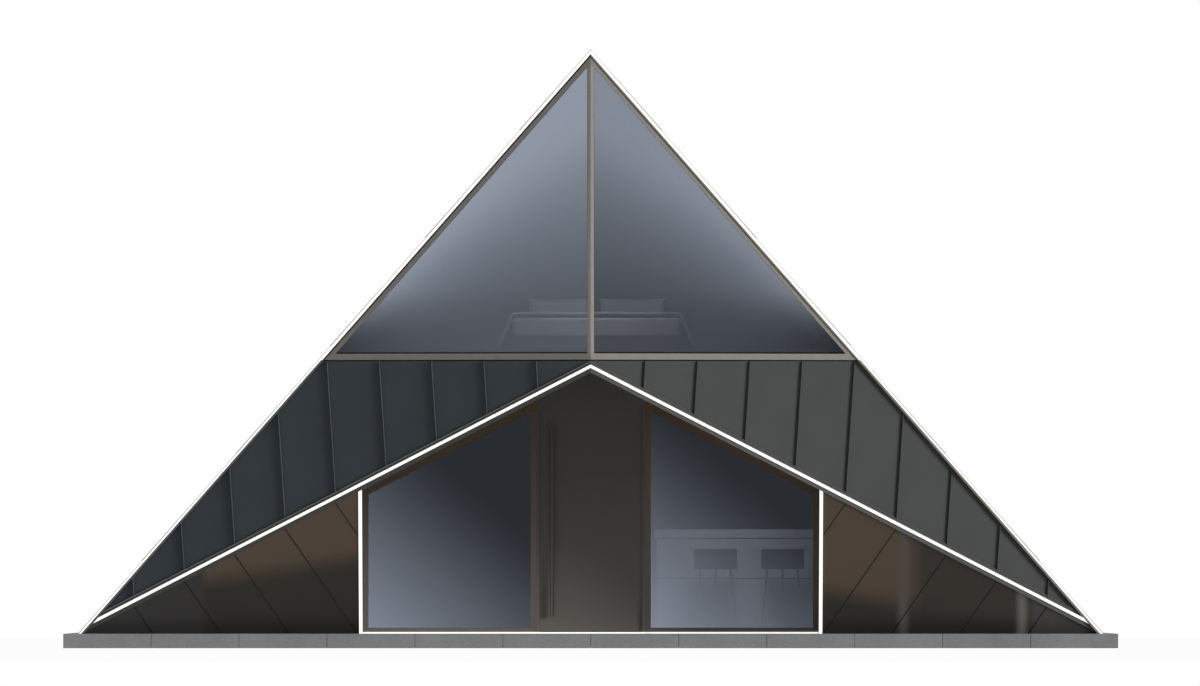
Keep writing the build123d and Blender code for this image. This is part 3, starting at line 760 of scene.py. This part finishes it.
def seam_tree():
    """A row of straight seams, each a thin web with a rolled top.

    Seam i starts at Start + i * Step, and is First length + i * Length step long.
    """
    tree, given, row = row_group("Seam row", {
        "First length": "Float", "Length step": "Float", "Direction": "Vector", "Width": "Float",
        "Height": "Float"})
    radius = add(tree, "MULTIPLY", (given["Width"], 0.5))
    half_height = add(tree, "MULTIPLY", (given["Height"], 0.5))
    web_size = add(tree, COMBINE, (radius, given["Height"], 1.0))
    web_middle = add(tree, COMBINE, (0.0, half_height, 0.5))
    web = add(tree, "GeometryNodeMeshCube", {"Size": web_size})
    web = add(tree, TRANSFORM, {"Geometry": web, "Translation": web_middle})
    roll_height = add(tree, "SUBTRACT", (given["Height"], radius))
    roll_middle = add(tree, COMBINE, (0.0, roll_height, 0.5))
    roll = add(tree, "GeometryNodeMeshCylinder", {"Vertices": 8, "Radius": radius, "Depth": 1.0})
    roll = add(tree, TRANSFORM, {"Geometry": roll, "Translation": roll_middle})
    seam = add(tree, "GeometryNodeJoinGeometry")
    for part in (web, roll):
        feed(tree, part, seam.inputs[0])
    index = add(tree, "GeometryNodeInputIndex")
    length = add(tree, "MULTIPLY_ADD", (index, given["Length step"], given["First length"]))
    stretch = add(tree, COMBINE, (1.0, 1.0, length))
    turn = add(tree, "FunctionNodeAxesToRotation", {
        "Primary Axis": given["Direction"], "Secondary Axis": given["Normal"]},
        primary_axis="Z", secondary_axis="Y")
    seams = add(tree, ON_POINTS, {"Points": row, "Instance": seam, "Rotation": turn, "Scale": stretch})
    return end_group(tree, seams, given["Finish"])


def block_tree():
    """Blocks in a grid, with open joints between them."""
    tree, given = start_group("Block grid", {
        "Centre": "Vector", "Size": "Vector", "Across": "Int", "Along": "Int", "Joint": "Float",
        "Finish": "Material"})
    width, depth, height = add(tree, SPLIT, (given["Size"],)).outputs
    cell_x = add(tree, "DIVIDE", (width, given["Across"]))
    cell_y = add(tree, "DIVIDE", (depth, given["Along"]))
    reach_x = add(tree, "SUBTRACT", (width, cell_x))
    reach_y = add(tree, "SUBTRACT", (depth, cell_y))
    grid = add(tree, "GeometryNodeMeshGrid", {
        "Size X": reach_x, "Size Y": reach_y, "Vertices X": given["Across"], "Vertices Y": given["Along"]})
    block_x = add(tree, "SUBTRACT", (cell_x, given["Joint"]))
    block_y = add(tree, "SUBTRACT", (cell_y, given["Joint"]))
    block_size = add(tree, COMBINE, (block_x, block_y, height))
    block = add(tree, "GeometryNodeMeshCube", {"Size": block_size})
    blocks = add(tree, ON_POINTS, {"Points": grid, "Instance": block})
    placed = add(tree, TRANSFORM, {"Geometry": blocks, "Translation": given["Centre"]})
    return end_group(tree, placed, given["Finish"])


def stud_tree():
    """A row of domed heads."""
    tree, given, row = row_group("Stud row", {"Radius": "Float"})
    dome = 0.4
    head = add(tree, "GeometryNodeMeshUVSphere", {
        "Segments": 16, "Rings": 8, "Radius": given["Radius"]})
    flat = add(tree, TRANSFORM, {"Geometry": head, "Scale": (1, 1, dome)})
    turn = add(tree, "FunctionNodeAlignRotationToVector", {"Vector": given["Normal"]}, axis="Z")
    heads = add(tree, ON_POINTS, {"Points": row, "Instance": flat, "Rotation": turn})
    return end_group(tree, heads, given["Finish"])


def grown(tree, values):
    """The plain mesh that a Geometry Nodes tree makes with these input values."""
    holder = linked("holder", bpy.data.meshes.new("holder"))
    modifier = holder.modifiers.new("tree", "NODES")
    modifier.node_group = tree
    for socket in tree.interface.items_tree:
        if socket.in_out == "INPUT":
            modifier[socket.identifier] = values[socket.name]
    return evaluated(holder)


def seam_row(count, start, step, direction, normal, length, length_step=0.0, size=None):
    """Mesh of one row of seams on the right side."""
    sizes = bpy.context.scene.cabin_sizes
    width, height = size or (sizes.seam_width, sizes.seam_height)
    return grown(TREES["seams"], {
        "Count": count, "Start": start, "Step": step, "First length": length,
        "Length step": length_step, "Direction": direction, "Normal": normal,
        "Width": width, "Height": height, "Finish": FINISHES["graphite"]})


# --- Soft forms ---
def pillow_form(middle, half):
    """Closed pillow, standing: crowned on both faces, its sides pulled in between its corners."""
    form = bmesh.new()
    side_pull, end_pull = 0.06, 0.1
    for side in (-1, 1):
        for vert in bmesh.ops.create_grid(form, x_segments=36, y_segments=18, size=1)["verts"]:
            u, v = vert.co.x, vert.co.y
            crown = math.sqrt(max((1 - u ** 4) * (1 - v ** 4), 0))
            vert.co = middle + Vector((
                half.x * u * (1 - side_pull * (1 - v * v)),
                side * half.y * crown,
                half.z * v * (1 - end_pull * (1 - u * u))))
    bmesh.ops.remove_doubles(form, verts=form.verts[:], dist=0.1 * MM)
    bmesh.ops.recalc_face_normals(form, faces=form.faces[:])
    return mesh_from(form)


def swollen(mesh, cap):
    """The mesh blown up as cloth, with each point held to a cap on its movement."""
    holder = linked("holder", mesh)
    scene = bpy.context.scene
    cloth = holder.modifiers.new("cloth", "CLOTH")
    cloth.settings.use_pressure = True
    cloth.settings.uniform_pressure_force = 4.0
    cloth.settings.effector_weights.gravity = 0.0
    last_frame = 20
    for number in range(1, 1 + last_frame):
        scene.frame_set(number)
    graph = bpy.context.evaluated_depsgraph_get()
    blown = holder.evaluated_get(graph).to_mesh()
    for vertex, target in zip(mesh.vertices, [Vector(point.co) for point in blown.vertices]):
        move = target - vertex.co
        vertex.co += move * min(1.0, cap / max(move.length, 1e-9))
    scene.frame_set(1)
    bpy.data.objects.remove(holder)
    return mesh


def kept_in(mesh, corner, far):
    """Flatten what stands out of a box onto its sides."""
    for vertex in mesh.vertices:
        vertex.co = [min(max(value, a), b) for value, a, b in zip(vertex.co, corner, far)]
    return mesh


# --- Operators ---
class CABIN_OT_finishes(bpy.types.Operator):
    """Make every finish and give each frame node its own"""
    bl_idname = "cabin.finishes"
    bl_label = "Finishes"

    def execute(self, context):
        for key, (name, sockets, pattern, nodes) in RECIPES.items():
            FINISHES[key] = finish_of(name, sockets, pattern, context.scene.cabin_colours)
            for node in nodes:
                for held in NODES[node].material_slots:
                    held.material = FINISHES[key]
        TREES.update(seams=seam_tree(), blocks=block_tree(), studs=stud_tree())
        return {"FINISHED"}


class CABIN_OT_facade_seams(bpy.types.Operator):
    """Standing seams of the facade, from the transom or the verge down to the folded trim"""
    bl_idname = "cabin.facade_seams"
    bl_label = "Facade seams"

    def execute(self, context):
        sizes = context.scene.cabin_sizes
        plane = face_plane("facade_panel_right", FRONTWARD)
        top = high("facade_panel_right").z
        verge_x = rake_x(inset_of("gable_frame"), top)
        lean, spacing = sizes.facade_lean, sizes.seam_spacing
        down = on_plane(plane, -lean, -1) - on_plane(plane, 0, 0)
        to_fold = fold_fall() / (1 + lean * fold_fall()) * down.length
        to_verge = down.length / (lean + 1 / math.tan(PITCH))
        down.normalize()
        step = on_plane(plane, spacing, 0) - on_plane(plane, 0, 0)
        under_transom = 1 + int((verge_x - sizes.first_seam) / spacing)
        x = sizes.first_seam
        rows = [seam_row(
            under_transom, on_plane(plane, x, top), step, down, plane[1], x * to_fold,
            spacing * to_fold)]
        x += under_transom * spacing
        drop, drop_step = (x - verge_x) * to_verge, spacing * to_verge
        length, length_step = x * to_fold - drop, spacing * to_fold - drop_step
        beside_verge = 1 + int(length / -length_step)
        rows.append(seam_row(
            beside_verge, on_plane(plane, x, top) + down * drop, step + down * drop_step, down,
            plane[1], length, length_step))
        # The left seams take the graphite with the painted sky reflection.
        pair("facade_seams", joined(rows), "graphite with painted sky", "graphite", "dark_metal")
        return {"FINISHED"}


class CABIN_OT_soffit_joints(bpy.types.Operator):
    """Sealed joints between the soffit sheets, from the folded trim down to the plinth"""
    bl_idname = "cabin.soffit_joints"
    bl_label = "Soffit joints"

    def execute(self, context):
        sizes = context.scene.cabin_sizes
        plane = face_plane("soffit_right", (0, -1, -1))
        inner, toe = low("soffit_right").x, high("soffit_right").x
        fold = high("soffit_right").z + fold_fall() * inner
        shrink = 1 / (1 + sizes.facade_lean * fold_fall())
        joint_height = 2.5 * MM
        down = on_plane(plane, -sizes.soffit_lean, -1) - on_plane(plane, 0, 0)
        reach = down.length
        down.normalize()
        rows = []
        for number in range(1, 1 + int(EAVE / sizes.seam_spacing)):
            x = (sizes.first_seam + number * sizes.seam_spacing) * shrink
            height = fold - fold_fall() * x
            drop = min(height - GROUND, (x - inner) / sizes.soffit_lean)
            if x < toe and drop > 0:
                rows.append(seam_row(
                    1, on_plane(plane, x, height), RIGHT, down, plane[1], drop * reach,
                    size=(sizes.joint_width, joint_height)))
        piece("soffit_joints", both_sides(joined(rows)), "rubber", "soffit_metal")
        return {"FINISHED"}


class CABIN_OT_roof_seams(bpy.types.Operator):
    """Low seams of both roof slopes, black as painted shade, from the plinth up to the ridge cap"""
    bl_idname = "cabin.roof_seams"
    bl_label = "Roof seams"

    def execute(self, context):
        sizes = context.scene.cabin_sizes
        spacing, size = sizes.seam_spacing, (sizes.roof_seam_width, sizes.roof_seam_height)
        normal = face_plane("roof_cladding_right", (1, 0, 1))[1]
        front = face_plane("roof_cladding_right", FRONTWARD)
        climb = Vector((-math.cos(PITCH), 0, math.sin(PITCH)))
        run = (high("roof_cladding_right").z - GROUND) / math.sin(PITCH)
        foot_y, ridge_y = on_plane(front, EAVE, GROUND).y, on_plane(front, 0, RIDGE).y
        y = high("roof_cladding_right").y - 0.5 * spacing
        square = 1 + int((y - foot_y) / spacing)
        back = REARWARD * -spacing
        rows = [seam_row(square, Vector((EAVE, y, GROUND)), back, climb, normal, run, size=size)]
        y -= square * spacing
        per_metre = EAVE / math.cos(PITCH) / (foot_y - ridge_y)
        edge_gap = 45 * MM
        rise, rise_step = (foot_y - y) * per_metre + edge_gap, spacing * per_metre
        raked = 1 + int((run - rise) / rise_step)
        rows.append(seam_row(
            raked, Vector((EAVE, y, GROUND)) + climb * rise, back + climb * rise_step,
            climb, normal, run - rise, -rise_step, size))
        # The seams are black rubber: painted shade for the shade that standing seams throw.
        pair("roof_seams", joined(rows), "rubber", "rubber", "dark_metal")
        return {"FINISHED"}


class CABIN_OT_rear_seams(bpy.types.Operator):
    """Standing seams of the rear wall, upright from the plinth to the window or the verge"""
    bl_idname = "cabin.rear_seams"
    bl_label = "Rear seams"

    def execute(self, context):
        sizes = context.scene.cabin_sizes
        face_y, top = high("rear_wall").y, high("rear_wall").z
        inset = inset_of("gable_frame")
        spacing = sizes.seam_spacing
        x = sizes.first_seam - 0.5 * spacing
        under_window = 1 + int((rake_x(inset, top) - x) / spacing)
        rows = [seam_row(
            under_window, Vector((x, face_y, GROUND)), RIGHT * spacing, UP, REARWARD, top - GROUND)]
        x += under_window * spacing
        height = (rake_x(inset, GROUND) - x) * math.tan(PITCH)
        fall = spacing * math.tan(PITCH)
        rows.append(seam_row(
            1 + int(height / fall), Vector((x, face_y, GROUND)), RIGHT * spacing, UP, REARWARD,
            height, -fall))
        piece("rear_seams", both_sides(joined(rows)), "graphite", "dark_metal")
        return {"FINISHED"}


class CABIN_OT_verge_edges(bpy.types.Operator):
    """Beads inside the roof's light strip, its lens, and the pale strip on the sheets' edges"""
    bl_idname = "cabin.verge_edges"
    bl_label = "Verge edges"

    def execute(self, context):
        sizes = context.scene.cabin_sizes
        width, crest_width, outer_share = sizes.bead_width, 3 * MM, 0.4
        start = inset_of("gable_frame") - width
        transom = UP * low("gable_transom").z
        above, below = (transom, -UP), (transom, UP)
        # On the left the beads are in rubber and black steel instead of the bead's finish: painted shade, on
        # the side away from the key lamp.
        for name, height, limit, left in (
                ("upper_beads", sizes.upper_bead_height, above, "rubber"),
                ("verge_beads", sizes.bead_height, below, "black steel")):
            crest = (
                (0, 0), (0, outer_share * height), (width - crest_width, height), (width, height),
                (width, 0))
            bead = self.along_verge("facade_panel_right", start, crest, limit)
            pair(name, bead, left, "bead", "frame_metal")
        edge, sheet = sizes.edge_width, inset_of("verge_light")
        sunk, proud, overlap = -1 * MM, 1.5 * MM, 1 * MM
        # The edge strips glow a little as painted light; the lenses are the light strip itself.
        for name, near, far, finish, slot in (
                ("edge_strips", 0, edge, "edge", "dark_metal"),
                ("light_lenses", edge, sheet + overlap, "opal", "white_diffuser")):
            flat = ((near, sunk), (near, proud), (far, proud), (far, sunk))
            strip = self.along_verge("roof_cladding_right", 0, flat, (UP * GROUND, -UP))
            piece(name, both_sides(strip), finish, slot)
        return {"FINISHED"}

    def along_verge(self, face, inset, profile, limit):
        """Bar along the right rake, cut off at the ridge, at the plinth and by one more plane."""
        plane = face_plane(face, FRONTWARD)
        over = RIDGE + OVERSHOOT
        top = on_plane(plane, rake_x(inset, over), over)
        foot = on_plane(plane, rake_x(inset, 0), 0)
        return front_bar(plane, top, foot, -RIGHT, profile, limit)


class CABIN_OT_fold_beads(bpy.types.Operator):
    """Slim bead on the folded trim's upper edge, and the lips on both sides of its light"""
    bl_idname = "cabin.fold_beads"
    bl_label = "Fold beads"

    def execute(self, context):
        lip = context.scene.cabin_sizes.lip_width
        top = high("facade_panel_right").z
        light_top = high("chevron_light").z
        light_foot = fold_point("chevron_light").z
        bead_width, bead_height, lip_height, overlap = 6 * MM, 19 * MM, 17 * MM, 1 * MM
        bead = self.along_fold(top, -bead_width, 0, bead_height)
        # On the left the bead is in the paler champagne, a painted highlight along the trim's lit edge; on
        # the right it is in the dark bead.
        pair("fold_bead", bead, "mullion", "bead", "dark_metal")
        lips = joined([
            self.along_fold(light_top, -lip, overlap, lip_height),
            self.along_fold(light_foot, -overlap, lip, lip_height)])
        piece("light_lips", both_sides(lips), "trim", "dark_metal")
        return {"FINISHED"}

    def along_fold(self, apex, near, far, height):
        """Bar on the facade beside the folded line that starts at apex on the centre line."""
        plane = face_plane("facade_panel_right", FRONTWARD)
        fall = fold_fall()
        start = on_plane(plane, -OVERSHOOT, apex + OVERSHOOT * fall)
        end = on_plane(plane, EAVE, apex - EAVE * fall)
        profile = ((near, 0), (near, height), (far, height), (far, 0))
        verge = on_plane(plane, rake_x(inset_of("gable_frame"), GROUND), GROUND)
        square = Vector((math.sin(PITCH), 0, math.cos(PITCH)))
        return front_bar(plane, start, end, UP, profile, (verge, square))


class CABIN_OT_gaskets(bpy.types.Operator):
    """Rubber seals round every pane, on the outside"""
    bl_idname = "cabin.gaskets"
    bl_label = "Gaskets"

    def execute(self, context):
        sizes = context.scene.cabin_sizes
        for node, toward in (
                ("gable_glass", (0.2, -1, 0)), ("window_glass", FRONTWARD), ("rear_glass", REARWARD)):
            plane = face_plane(node, toward)
            mesh = rim(pane_outline(node, plane), plane[1], sizes.gasket_width, sizes.gasket_height)
            piece(node.replace("glass", "gaskets"), both_sides(mesh), "rubber", "black_metal")
        return {"FINISHED"}


class CABIN_OT_door_details(bpy.types.Operator):
    """Reveal line round the door leaf, linings on its posts, and the handle's painted reflection and roses
    """
    bl_idname = "cabin.door_details"
    bl_label = "Door details"

    def execute(self, context):
        sizes = context.scene.cabin_sizes
        corner, far = ends("door_leaf")
        inset, line_width, line_height = 22 * MM, 6 * MM, 2 * MM
        left, right = corner.x + inset, far.x - inset
        foot, head = corner.z + inset, far.z - inset
        outline = [Vector((x, corner.y, z)) for x, z in (
            (left, foot), (right, foot), (right, head), (left, head))]
        reveal = rim(outline, FRONTWARD, line_width, line_height)
        piece("door_reveal", reveal, "rubber", "door_panel", "door")
        post_low = low("door_post_right")
        proud, sunk = 2 * MM, 1 * MM
        lining = box(
            Vector((post_low.x, post_low.y - proud, post_low.z)),
            Vector((post_low.x + sizes.lining_width, post_low.y + sunk, far.z)))
        piece("door_linings", both_sides(lining), "door", "door_panel")
        self.handle(sizes, corner.y)
        return {"FINISHED"}

    def handle(self, sizes, face_y):
        """A band in the leaf's colour down the handle's front, a painted reflection of the leaf, and roses
        behind its ends.
        """
        corner, far = ends("door_handle")
        from_left, from_right, from_ends, half_depth = 7 * MM, 15 * MM, 2 * MM, 1 * MM
        # A band in the door's colour on the black handle: a painted reflection of the leaf.
        reflection_band = box(
            Vector((corner.x + from_left, corner.y - half_depth, corner.z + from_ends)),
            Vector((far.x - from_right, corner.y + half_depth, far.z - from_ends)))
        piece("handle_inlay", reflection_band, "door", "door_panel", "door")
        foot_inset = 174 * MM
        roses = grown(TREES["studs"], {
            "Count": 2, "Start": Vector(((corner.x + far.x) / 2, face_y, corner.z + foot_inset)),
            "Normal": FRONTWARD, "Radius": sizes.rose_radius,
            "Step": UP * (far.z - corner.z - 2 * foot_inset), "Finish": FINISHES["black steel"]})
        piece("handle_roses", roses, "black steel", "black_metal", "door")


class CABIN_OT_sill_link(bpy.types.Operator):
    """Diffuser that carries the sill light past the right door post"""
    bl_idname = "cabin.sill_link"
    bl_label = "Sill link"

    def execute(self, context):
        corner, far = ends("sill_light")
        inset, past_post = 1 * MM, 10 * MM
        link = box(
            Vector((low("door_post_right").x, corner.y + inset, corner.z + inset)),
            Vector((high("door_post_right").x + past_post, far.y, far.z - inset)))
        piece("sill_link", link, "opal", "white_diffuser")
        return {"FINISHED"}


class CABIN_OT_stonework(bpy.types.Operator):
    """The plinth as stone blocks on a grout core"""
    bl_idname = "cabin.stonework"
    bl_label = "Stonework"

    def execute(self, context):
        sizes = context.scene.cabin_sizes
        corner, far = ends("plinth")
        stones = grown(TREES["blocks"], {
            "Centre": (corner + far) / 2, "Size": far - corner, "Across": sizes.stones_across,
            "Along": sizes.stones_deep, "Joint": sizes.stone_joint, "Finish": FINISHES["granite"]})
        worn_edge, inset = 2 * MM, Vector((8, 8, 8)) * MM
        made = piece("plinth_stones", stones, "granite", "stone")
        soften(made, worn_edge, 1)
        core = piece("plinth_grout", box(corner + inset, far - inset), "grout", "stone")
        soften(core, worn_edge, 1)
        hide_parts("plinth")
        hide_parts("plinth")
        return {"FINISHED"}


class CABIN_OT_ridge_rivets(bpy.types.Operator):
    """Rivets along both laps of the ridge cap"""
    bl_idname = "cabin.ridge_rivets"
    bl_label = "Ridge rivets"

    def execute(self, context):
        sizes = context.scene.cabin_sizes
        cap_low, cap_high = ends("ridge_cap")
        plane = face_plane("ridge_cap", (1, 0, 1))
        from_edge = 20 * MM
        x = cap_high.x - from_edge
        height = plane[0].z - plane[1].x * (x - plane[0].x) / plane[1].z
        start = Vector((x, cap_high.y - sizes.rivet_spacing / 2, height))
        count = int((cap_high.y - cap_low.y - 2 * cap_high.x) / sizes.rivet_spacing)
        right = grown(TREES["studs"], {
            "Count": count, "Start": start, "Step": REARWARD * -sizes.rivet_spacing,
            "Normal": plane[1], "Radius": sizes.rivet_radius, "Finish": FINISHES["graphite"]})
        piece("ridge_rivets", both_sides(right), "graphite", "dark_metal")
        return {"FINISHED"}


class CABIN_OT_counter_fronts(bpy.types.Operator):
    """Fronts on the counter's cabinet, in two rows"""
    bl_idname = "cabin.counter_fronts"
    bl_label = "Counter fronts"

    def execute(self, context):
        sizes = context.scene.cabin_sizes
        corner, far = ends("counter")
        floor = high("ground_floor").z
        lap, slab, thickness, joint = 20 * MM, 85 * MM, 18 * MM, sizes.front_joint
        left, right, under = corner.x + lap, far.x - lap, far.z - slab
        # A black rubber sheet on the cabinet's face: painted shade in the joints between the fronts.
        shade_sheet_thickness = 1 * MM
        face = corner.y - shade_sheet_thickness
        lining = box(Vector((left, face, floor)), Vector((right, corner.y, under)))
        piece("counter_lining", lining, "rubber", "joinery")
        lower_share = 0.57
        split = floor + lower_share * (under - floor)
        fronts = joined([
            box(Vector((left, face - thickness, bottom)), Vector((right, face, top)))
            for bottom, top in ((floor, split - joint), (split, under - joint))])
        soften(piece("counter_fronts", fronts, "laminate", "joinery"), 1 * MM, 1)
        return {"FINISHED"}


class CABIN_OT_bedding(bpy.types.Operator):
    """Mattress, pillows and the duvet draped over the bed's sides"""
    bl_idname = "cabin.bedding"
    bl_label = "Bedding"

    def execute(self, context):
        self.mattress()
        self.pillows(context.scene.cabin_sizes.pillow_cap)
        self.duvet(context.scene.cabin_sizes)
        return {"FINISHED"}

    def mattress(self):
        corner, far = ends("mattress")
        shrink = Vector((2, 2, 0)) * MM
        made = piece("mattress_pad", box(corner + shrink, far - shrink - UP * MM), "linen", "bedding")
        padded_edge = 35 * MM
        soften(made, padded_edge, 5)
        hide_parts("mattress")

    def pillows(self, cap):
        corner, far = ends("pillows")
        head_room, grid_size = 70 * MM, 9 * MM
        inset, swell_room = Vector((1, 1, 0)) * MM, Vector((6, 26, 3)) * MM
        width = (far.x - corner.x) / 2
        for number, name in enumerate(("left", "right")):
            start = corner + RIGHT * width * number
            end = Vector((start.x + width, far.y, far.z - head_room))
            start, end = start + inset, end - inset
            mesh = pillow_form((start + end) / 2, (end - start) / 2 - swell_room)
            mesh = settled(mesh, "REMESH", mode="VOXEL", voxel_size=grid_size)
            mesh = swollen(mesh, cap)
            mesh = kept_in(mesh, start, end)
            mesh = settled(mesh, "SUBSURF", levels=1, render_levels=1)
            made = piece(f"pillow_{name}", mesh, "linen", "bedding")
            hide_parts("pillows")

    def duvet(self, sizes):
        corner, far = ends("duvet")
        bed_left, bed_right = low("mattress").x, high("mattress").x
        half, end_room, top_room = sizes.duvet_loft / 2, 3 * MM, 4 * MM
        reach = far.x - bed_right - half
        top, floor = far.z - half - top_room, corner.z + half
        side = math.hypot(reach, top - floor)
        flat = bed_right - bed_left
        across, along = 60, 38
        # Waves of the hanging folds, and of the puffs on top, in radians for each metre.
        fold_wave, wander, wander_wave = 17, 1.5, 5
        puff_height, puff_along, puff_slant, puff_across = 3 * MM, 11, 2, 9
        form = bmesh.new()
        rows = []
        for j in range(along + 1):
            y = corner.y + end_room + (far.y - corner.y - 2 * end_room) * j / along
            row = []
            for i in range(across + 1):
                s = (side * 2 + flat) * i / across - side
                hang = max(-s, s - flat, 0) / side
                x = bed_left + min(max(s, 0), flat) + math.copysign(reach * hang, s - flat / 2)
                wave = math.sin(fold_wave * y + wander * math.sin(wander_wave * y))
                fold = sizes.duvet_fold * hang * (0.5 + 0.5 * wave)
                puff = puff_height * math.sin(puff_along * y + puff_slant * x) * math.sin(puff_across * x)
                x -= math.copysign(fold, s - flat / 2) if hang else 0
                row.append(form.verts.new((x, y, top - (top - floor) * hang + puff * (1 - hang))))
            rows.append(row)
        for near, next_row in zip(rows, rows[1:]):
            for i in range(across):
                form.faces.new((near[i], near[i + 1], next_row[i + 1], next_row[i]))
        bmesh.ops.smooth_vert(
            form, verts=form.verts[:], factor=0.5, use_axis_x=True, use_axis_y=False, use_axis_z=True)
        mesh = settled(mesh_from(form), "SOLIDIFY", thickness=sizes.duvet_loft, offset=0.0)
        made = piece("duvet_cover", mesh, "linen", "bedding")
        made.modifiers.new("smooth", "SUBSURF").render_levels = 1
        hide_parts("duvet")


class CABIN_OT_stage(bpy.types.Operator):
    """Floor, background, lamps and camera"""
    bl_idname = "cabin.stage"
    bl_label = "Stage"

    def execute(self, context):
        scene = context.scene
        scene.view_settings.view_transform = "Standard"
        self.floor()
        self.world(scene)
        sun_distance = 20
        for name, azimuth, elevation, strength in (
                ("key", 62, 15, 3.5), ("rear fill", 165, 15, 1.2), ("left rear fill", -110, 12, 0.9)):
            source = Matrix.Rotation(math.radians(azimuth), 3, "Z") @ (
                FRONTWARD * math.cos(math.radians(elevation)) + UP * math.sin(math.radians(elevation)))
            self.lamp(name, "SUN", source * sun_distance, Vector(), strength, angle=math.radians(25))
        bed, counter = ((low(node) + high(node)) / 2 for node in ("bed_frame", "counter"))
        for name, place, target, size, power in (
                ("loft lamp", Vector((0, -5.2, 4.7)), bed, 0.6, 13),
                ("counter lamp", Vector((counter.x, -2.4, 2.5)), counter, 0.8, 19),
                ("ground floor lamp", Vector((-1.2, -1.5, 2.6)), Vector((-1.2, 1, 0)), 1.5, 6)):
            made = self.lamp(name, "AREA", place, target, power, size=size, spread=math.radians(100))
            made.visible_camera = False
            made.visible_glossy = False
        self.camera(scene)
        return {"FINISHED"}

    def floor(self):
        # Matt studio paper: it throws soft light up at the soffits, and looks plain white but for
        # a faint shade.
        form = bmesh.new()
        bmesh.ops.create_grid(form, x_segments=1, y_segments=1, size=60)
        ground = linked("floor", mesh_from(form))
        made = bpy.data.materials.new("Pale studio floor")
        self.whitened(
            made, ("BsdfDiffuse", "Emission", "OutputMaterial"), {"Color": (0.7, 0.7, 0.7, 1)}, whitest=0.96)
        ground.data.materials.append(made)

    def world(self, scene):
        scene.world = bpy.data.worlds.new("Studio")
        soft = {"Color": (0.95, 0.98, 1, 1), "Strength": 0.12}
        self.whitened(scene.world, ("Background", "Background", "OutputWorld"), soft, whitest=1.0)

    def whitened(self, made, kinds, inputs, whitest):
        """Soft shading that turns white, by a share up to whitest, where the camera sees it.

        It may see it straight, mirrored or through glass. kinds name the soft, white and output nodes.
        """
        tree = start_tree(made)
        path = add(tree, "ShaderNodeLightPath").outputs
        seen = add(tree, "MAXIMUM", (path["Is Camera Ray"], path["Is Glossy Ray"]))
        seen = add(tree, "MAXIMUM", (seen, path["Is Transmission Ray"]))
        share = add(tree, "MULTIPLY", (seen, whitest))
        soft, white, output = ("ShaderNode" + kind for kind in kinds)
        soft = add(tree, soft, inputs)
        white = add(tree, white, {"Color": (1, 1, 1, 1), "Strength": 1.0})
        add(tree, output, (add(tree, "ShaderNodeMixShader", (share, soft, white)),))

    def lamp(self, name, kind, place, target, energy, **settings):
        """A soft lamp at a place, aimed at a target."""
        light = bpy.data.lights.new(name, kind)
        light.energy = energy
        for setting, value in settings.items():
            setattr(light, setting, value)
        made = linked(name, light)
        self.aim(made, place, target)
        return made

    def aim(self, made, place, target):
        made.location = place
        made.rotation_euler = (place - target).to_track_quat("Z", "Y").to_euler()

    def camera(self, scene):
        lens = bpy.data.cameras.new("Front")
        lens.lens = 950
        lens.clip_end = 1000
        view_width = 11.985
        target = Vector((0.093, -4.6, 3.050))
        distance = view_width * lens.lens / lens.sensor_width
        eye_height = 0.6
        scene.camera = linked("Front", lens)
        self.aim(scene.camera, Vector((target.x, target.y - distance, eye_height)), target)


class CABIN_PT_panel(bpy.types.Panel):
    """The cabin's steps, sizes and colours"""
    bl_idname = "CABIN_PT_panel"
    bl_label = "A-frame cabin"
    bl_space_type = "VIEW_3D"
    bl_region_type = "UI"
    bl_category = "Cabin"

    def draw(self, context):
        for step in STEPS:
            self.layout.operator(step.bl_idname)
        for group in (context.scene.cabin_sizes, context.scene.cabin_colours):
            for name in type(group).__annotations__:
                self.layout.prop(group, name)


STEPS = (
    CABIN_OT_finishes, CABIN_OT_facade_seams, CABIN_OT_soffit_joints, CABIN_OT_roof_seams,
    CABIN_OT_rear_seams, CABIN_OT_verge_edges, CABIN_OT_fold_beads, CABIN_OT_gaskets,
    CABIN_OT_door_details, CABIN_OT_sill_link, CABIN_OT_stonework, CABIN_OT_ridge_rivets,
    CABIN_OT_counter_fronts, CABIN_OT_bedding, CABIN_OT_stage)
CLASSES = (CabinSizes, CabinColours, *STEPS, CABIN_PT_panel)


def register():
    for made in CLASSES:
        bpy.utils.register_class(made)
    bpy.types.Scene.cabin_sizes = bpy.props.PointerProperty(type=CabinSizes)
    bpy.types.Scene.cabin_colours = bpy.props.PointerProperty(type=CabinColours)


def unregister():
    del bpy.types.Scene.cabin_sizes
    del bpy.types.Scene.cabin_colours
    for made in reversed(CLASSES):
        bpy.utils.unregister_class(made)


def main():
    register()
    for step in STEPS:
        group, action = step.bl_idname.split(".")
        getattr(getattr(bpy.ops, group), action)()


if __name__ == "__main__":
    main()
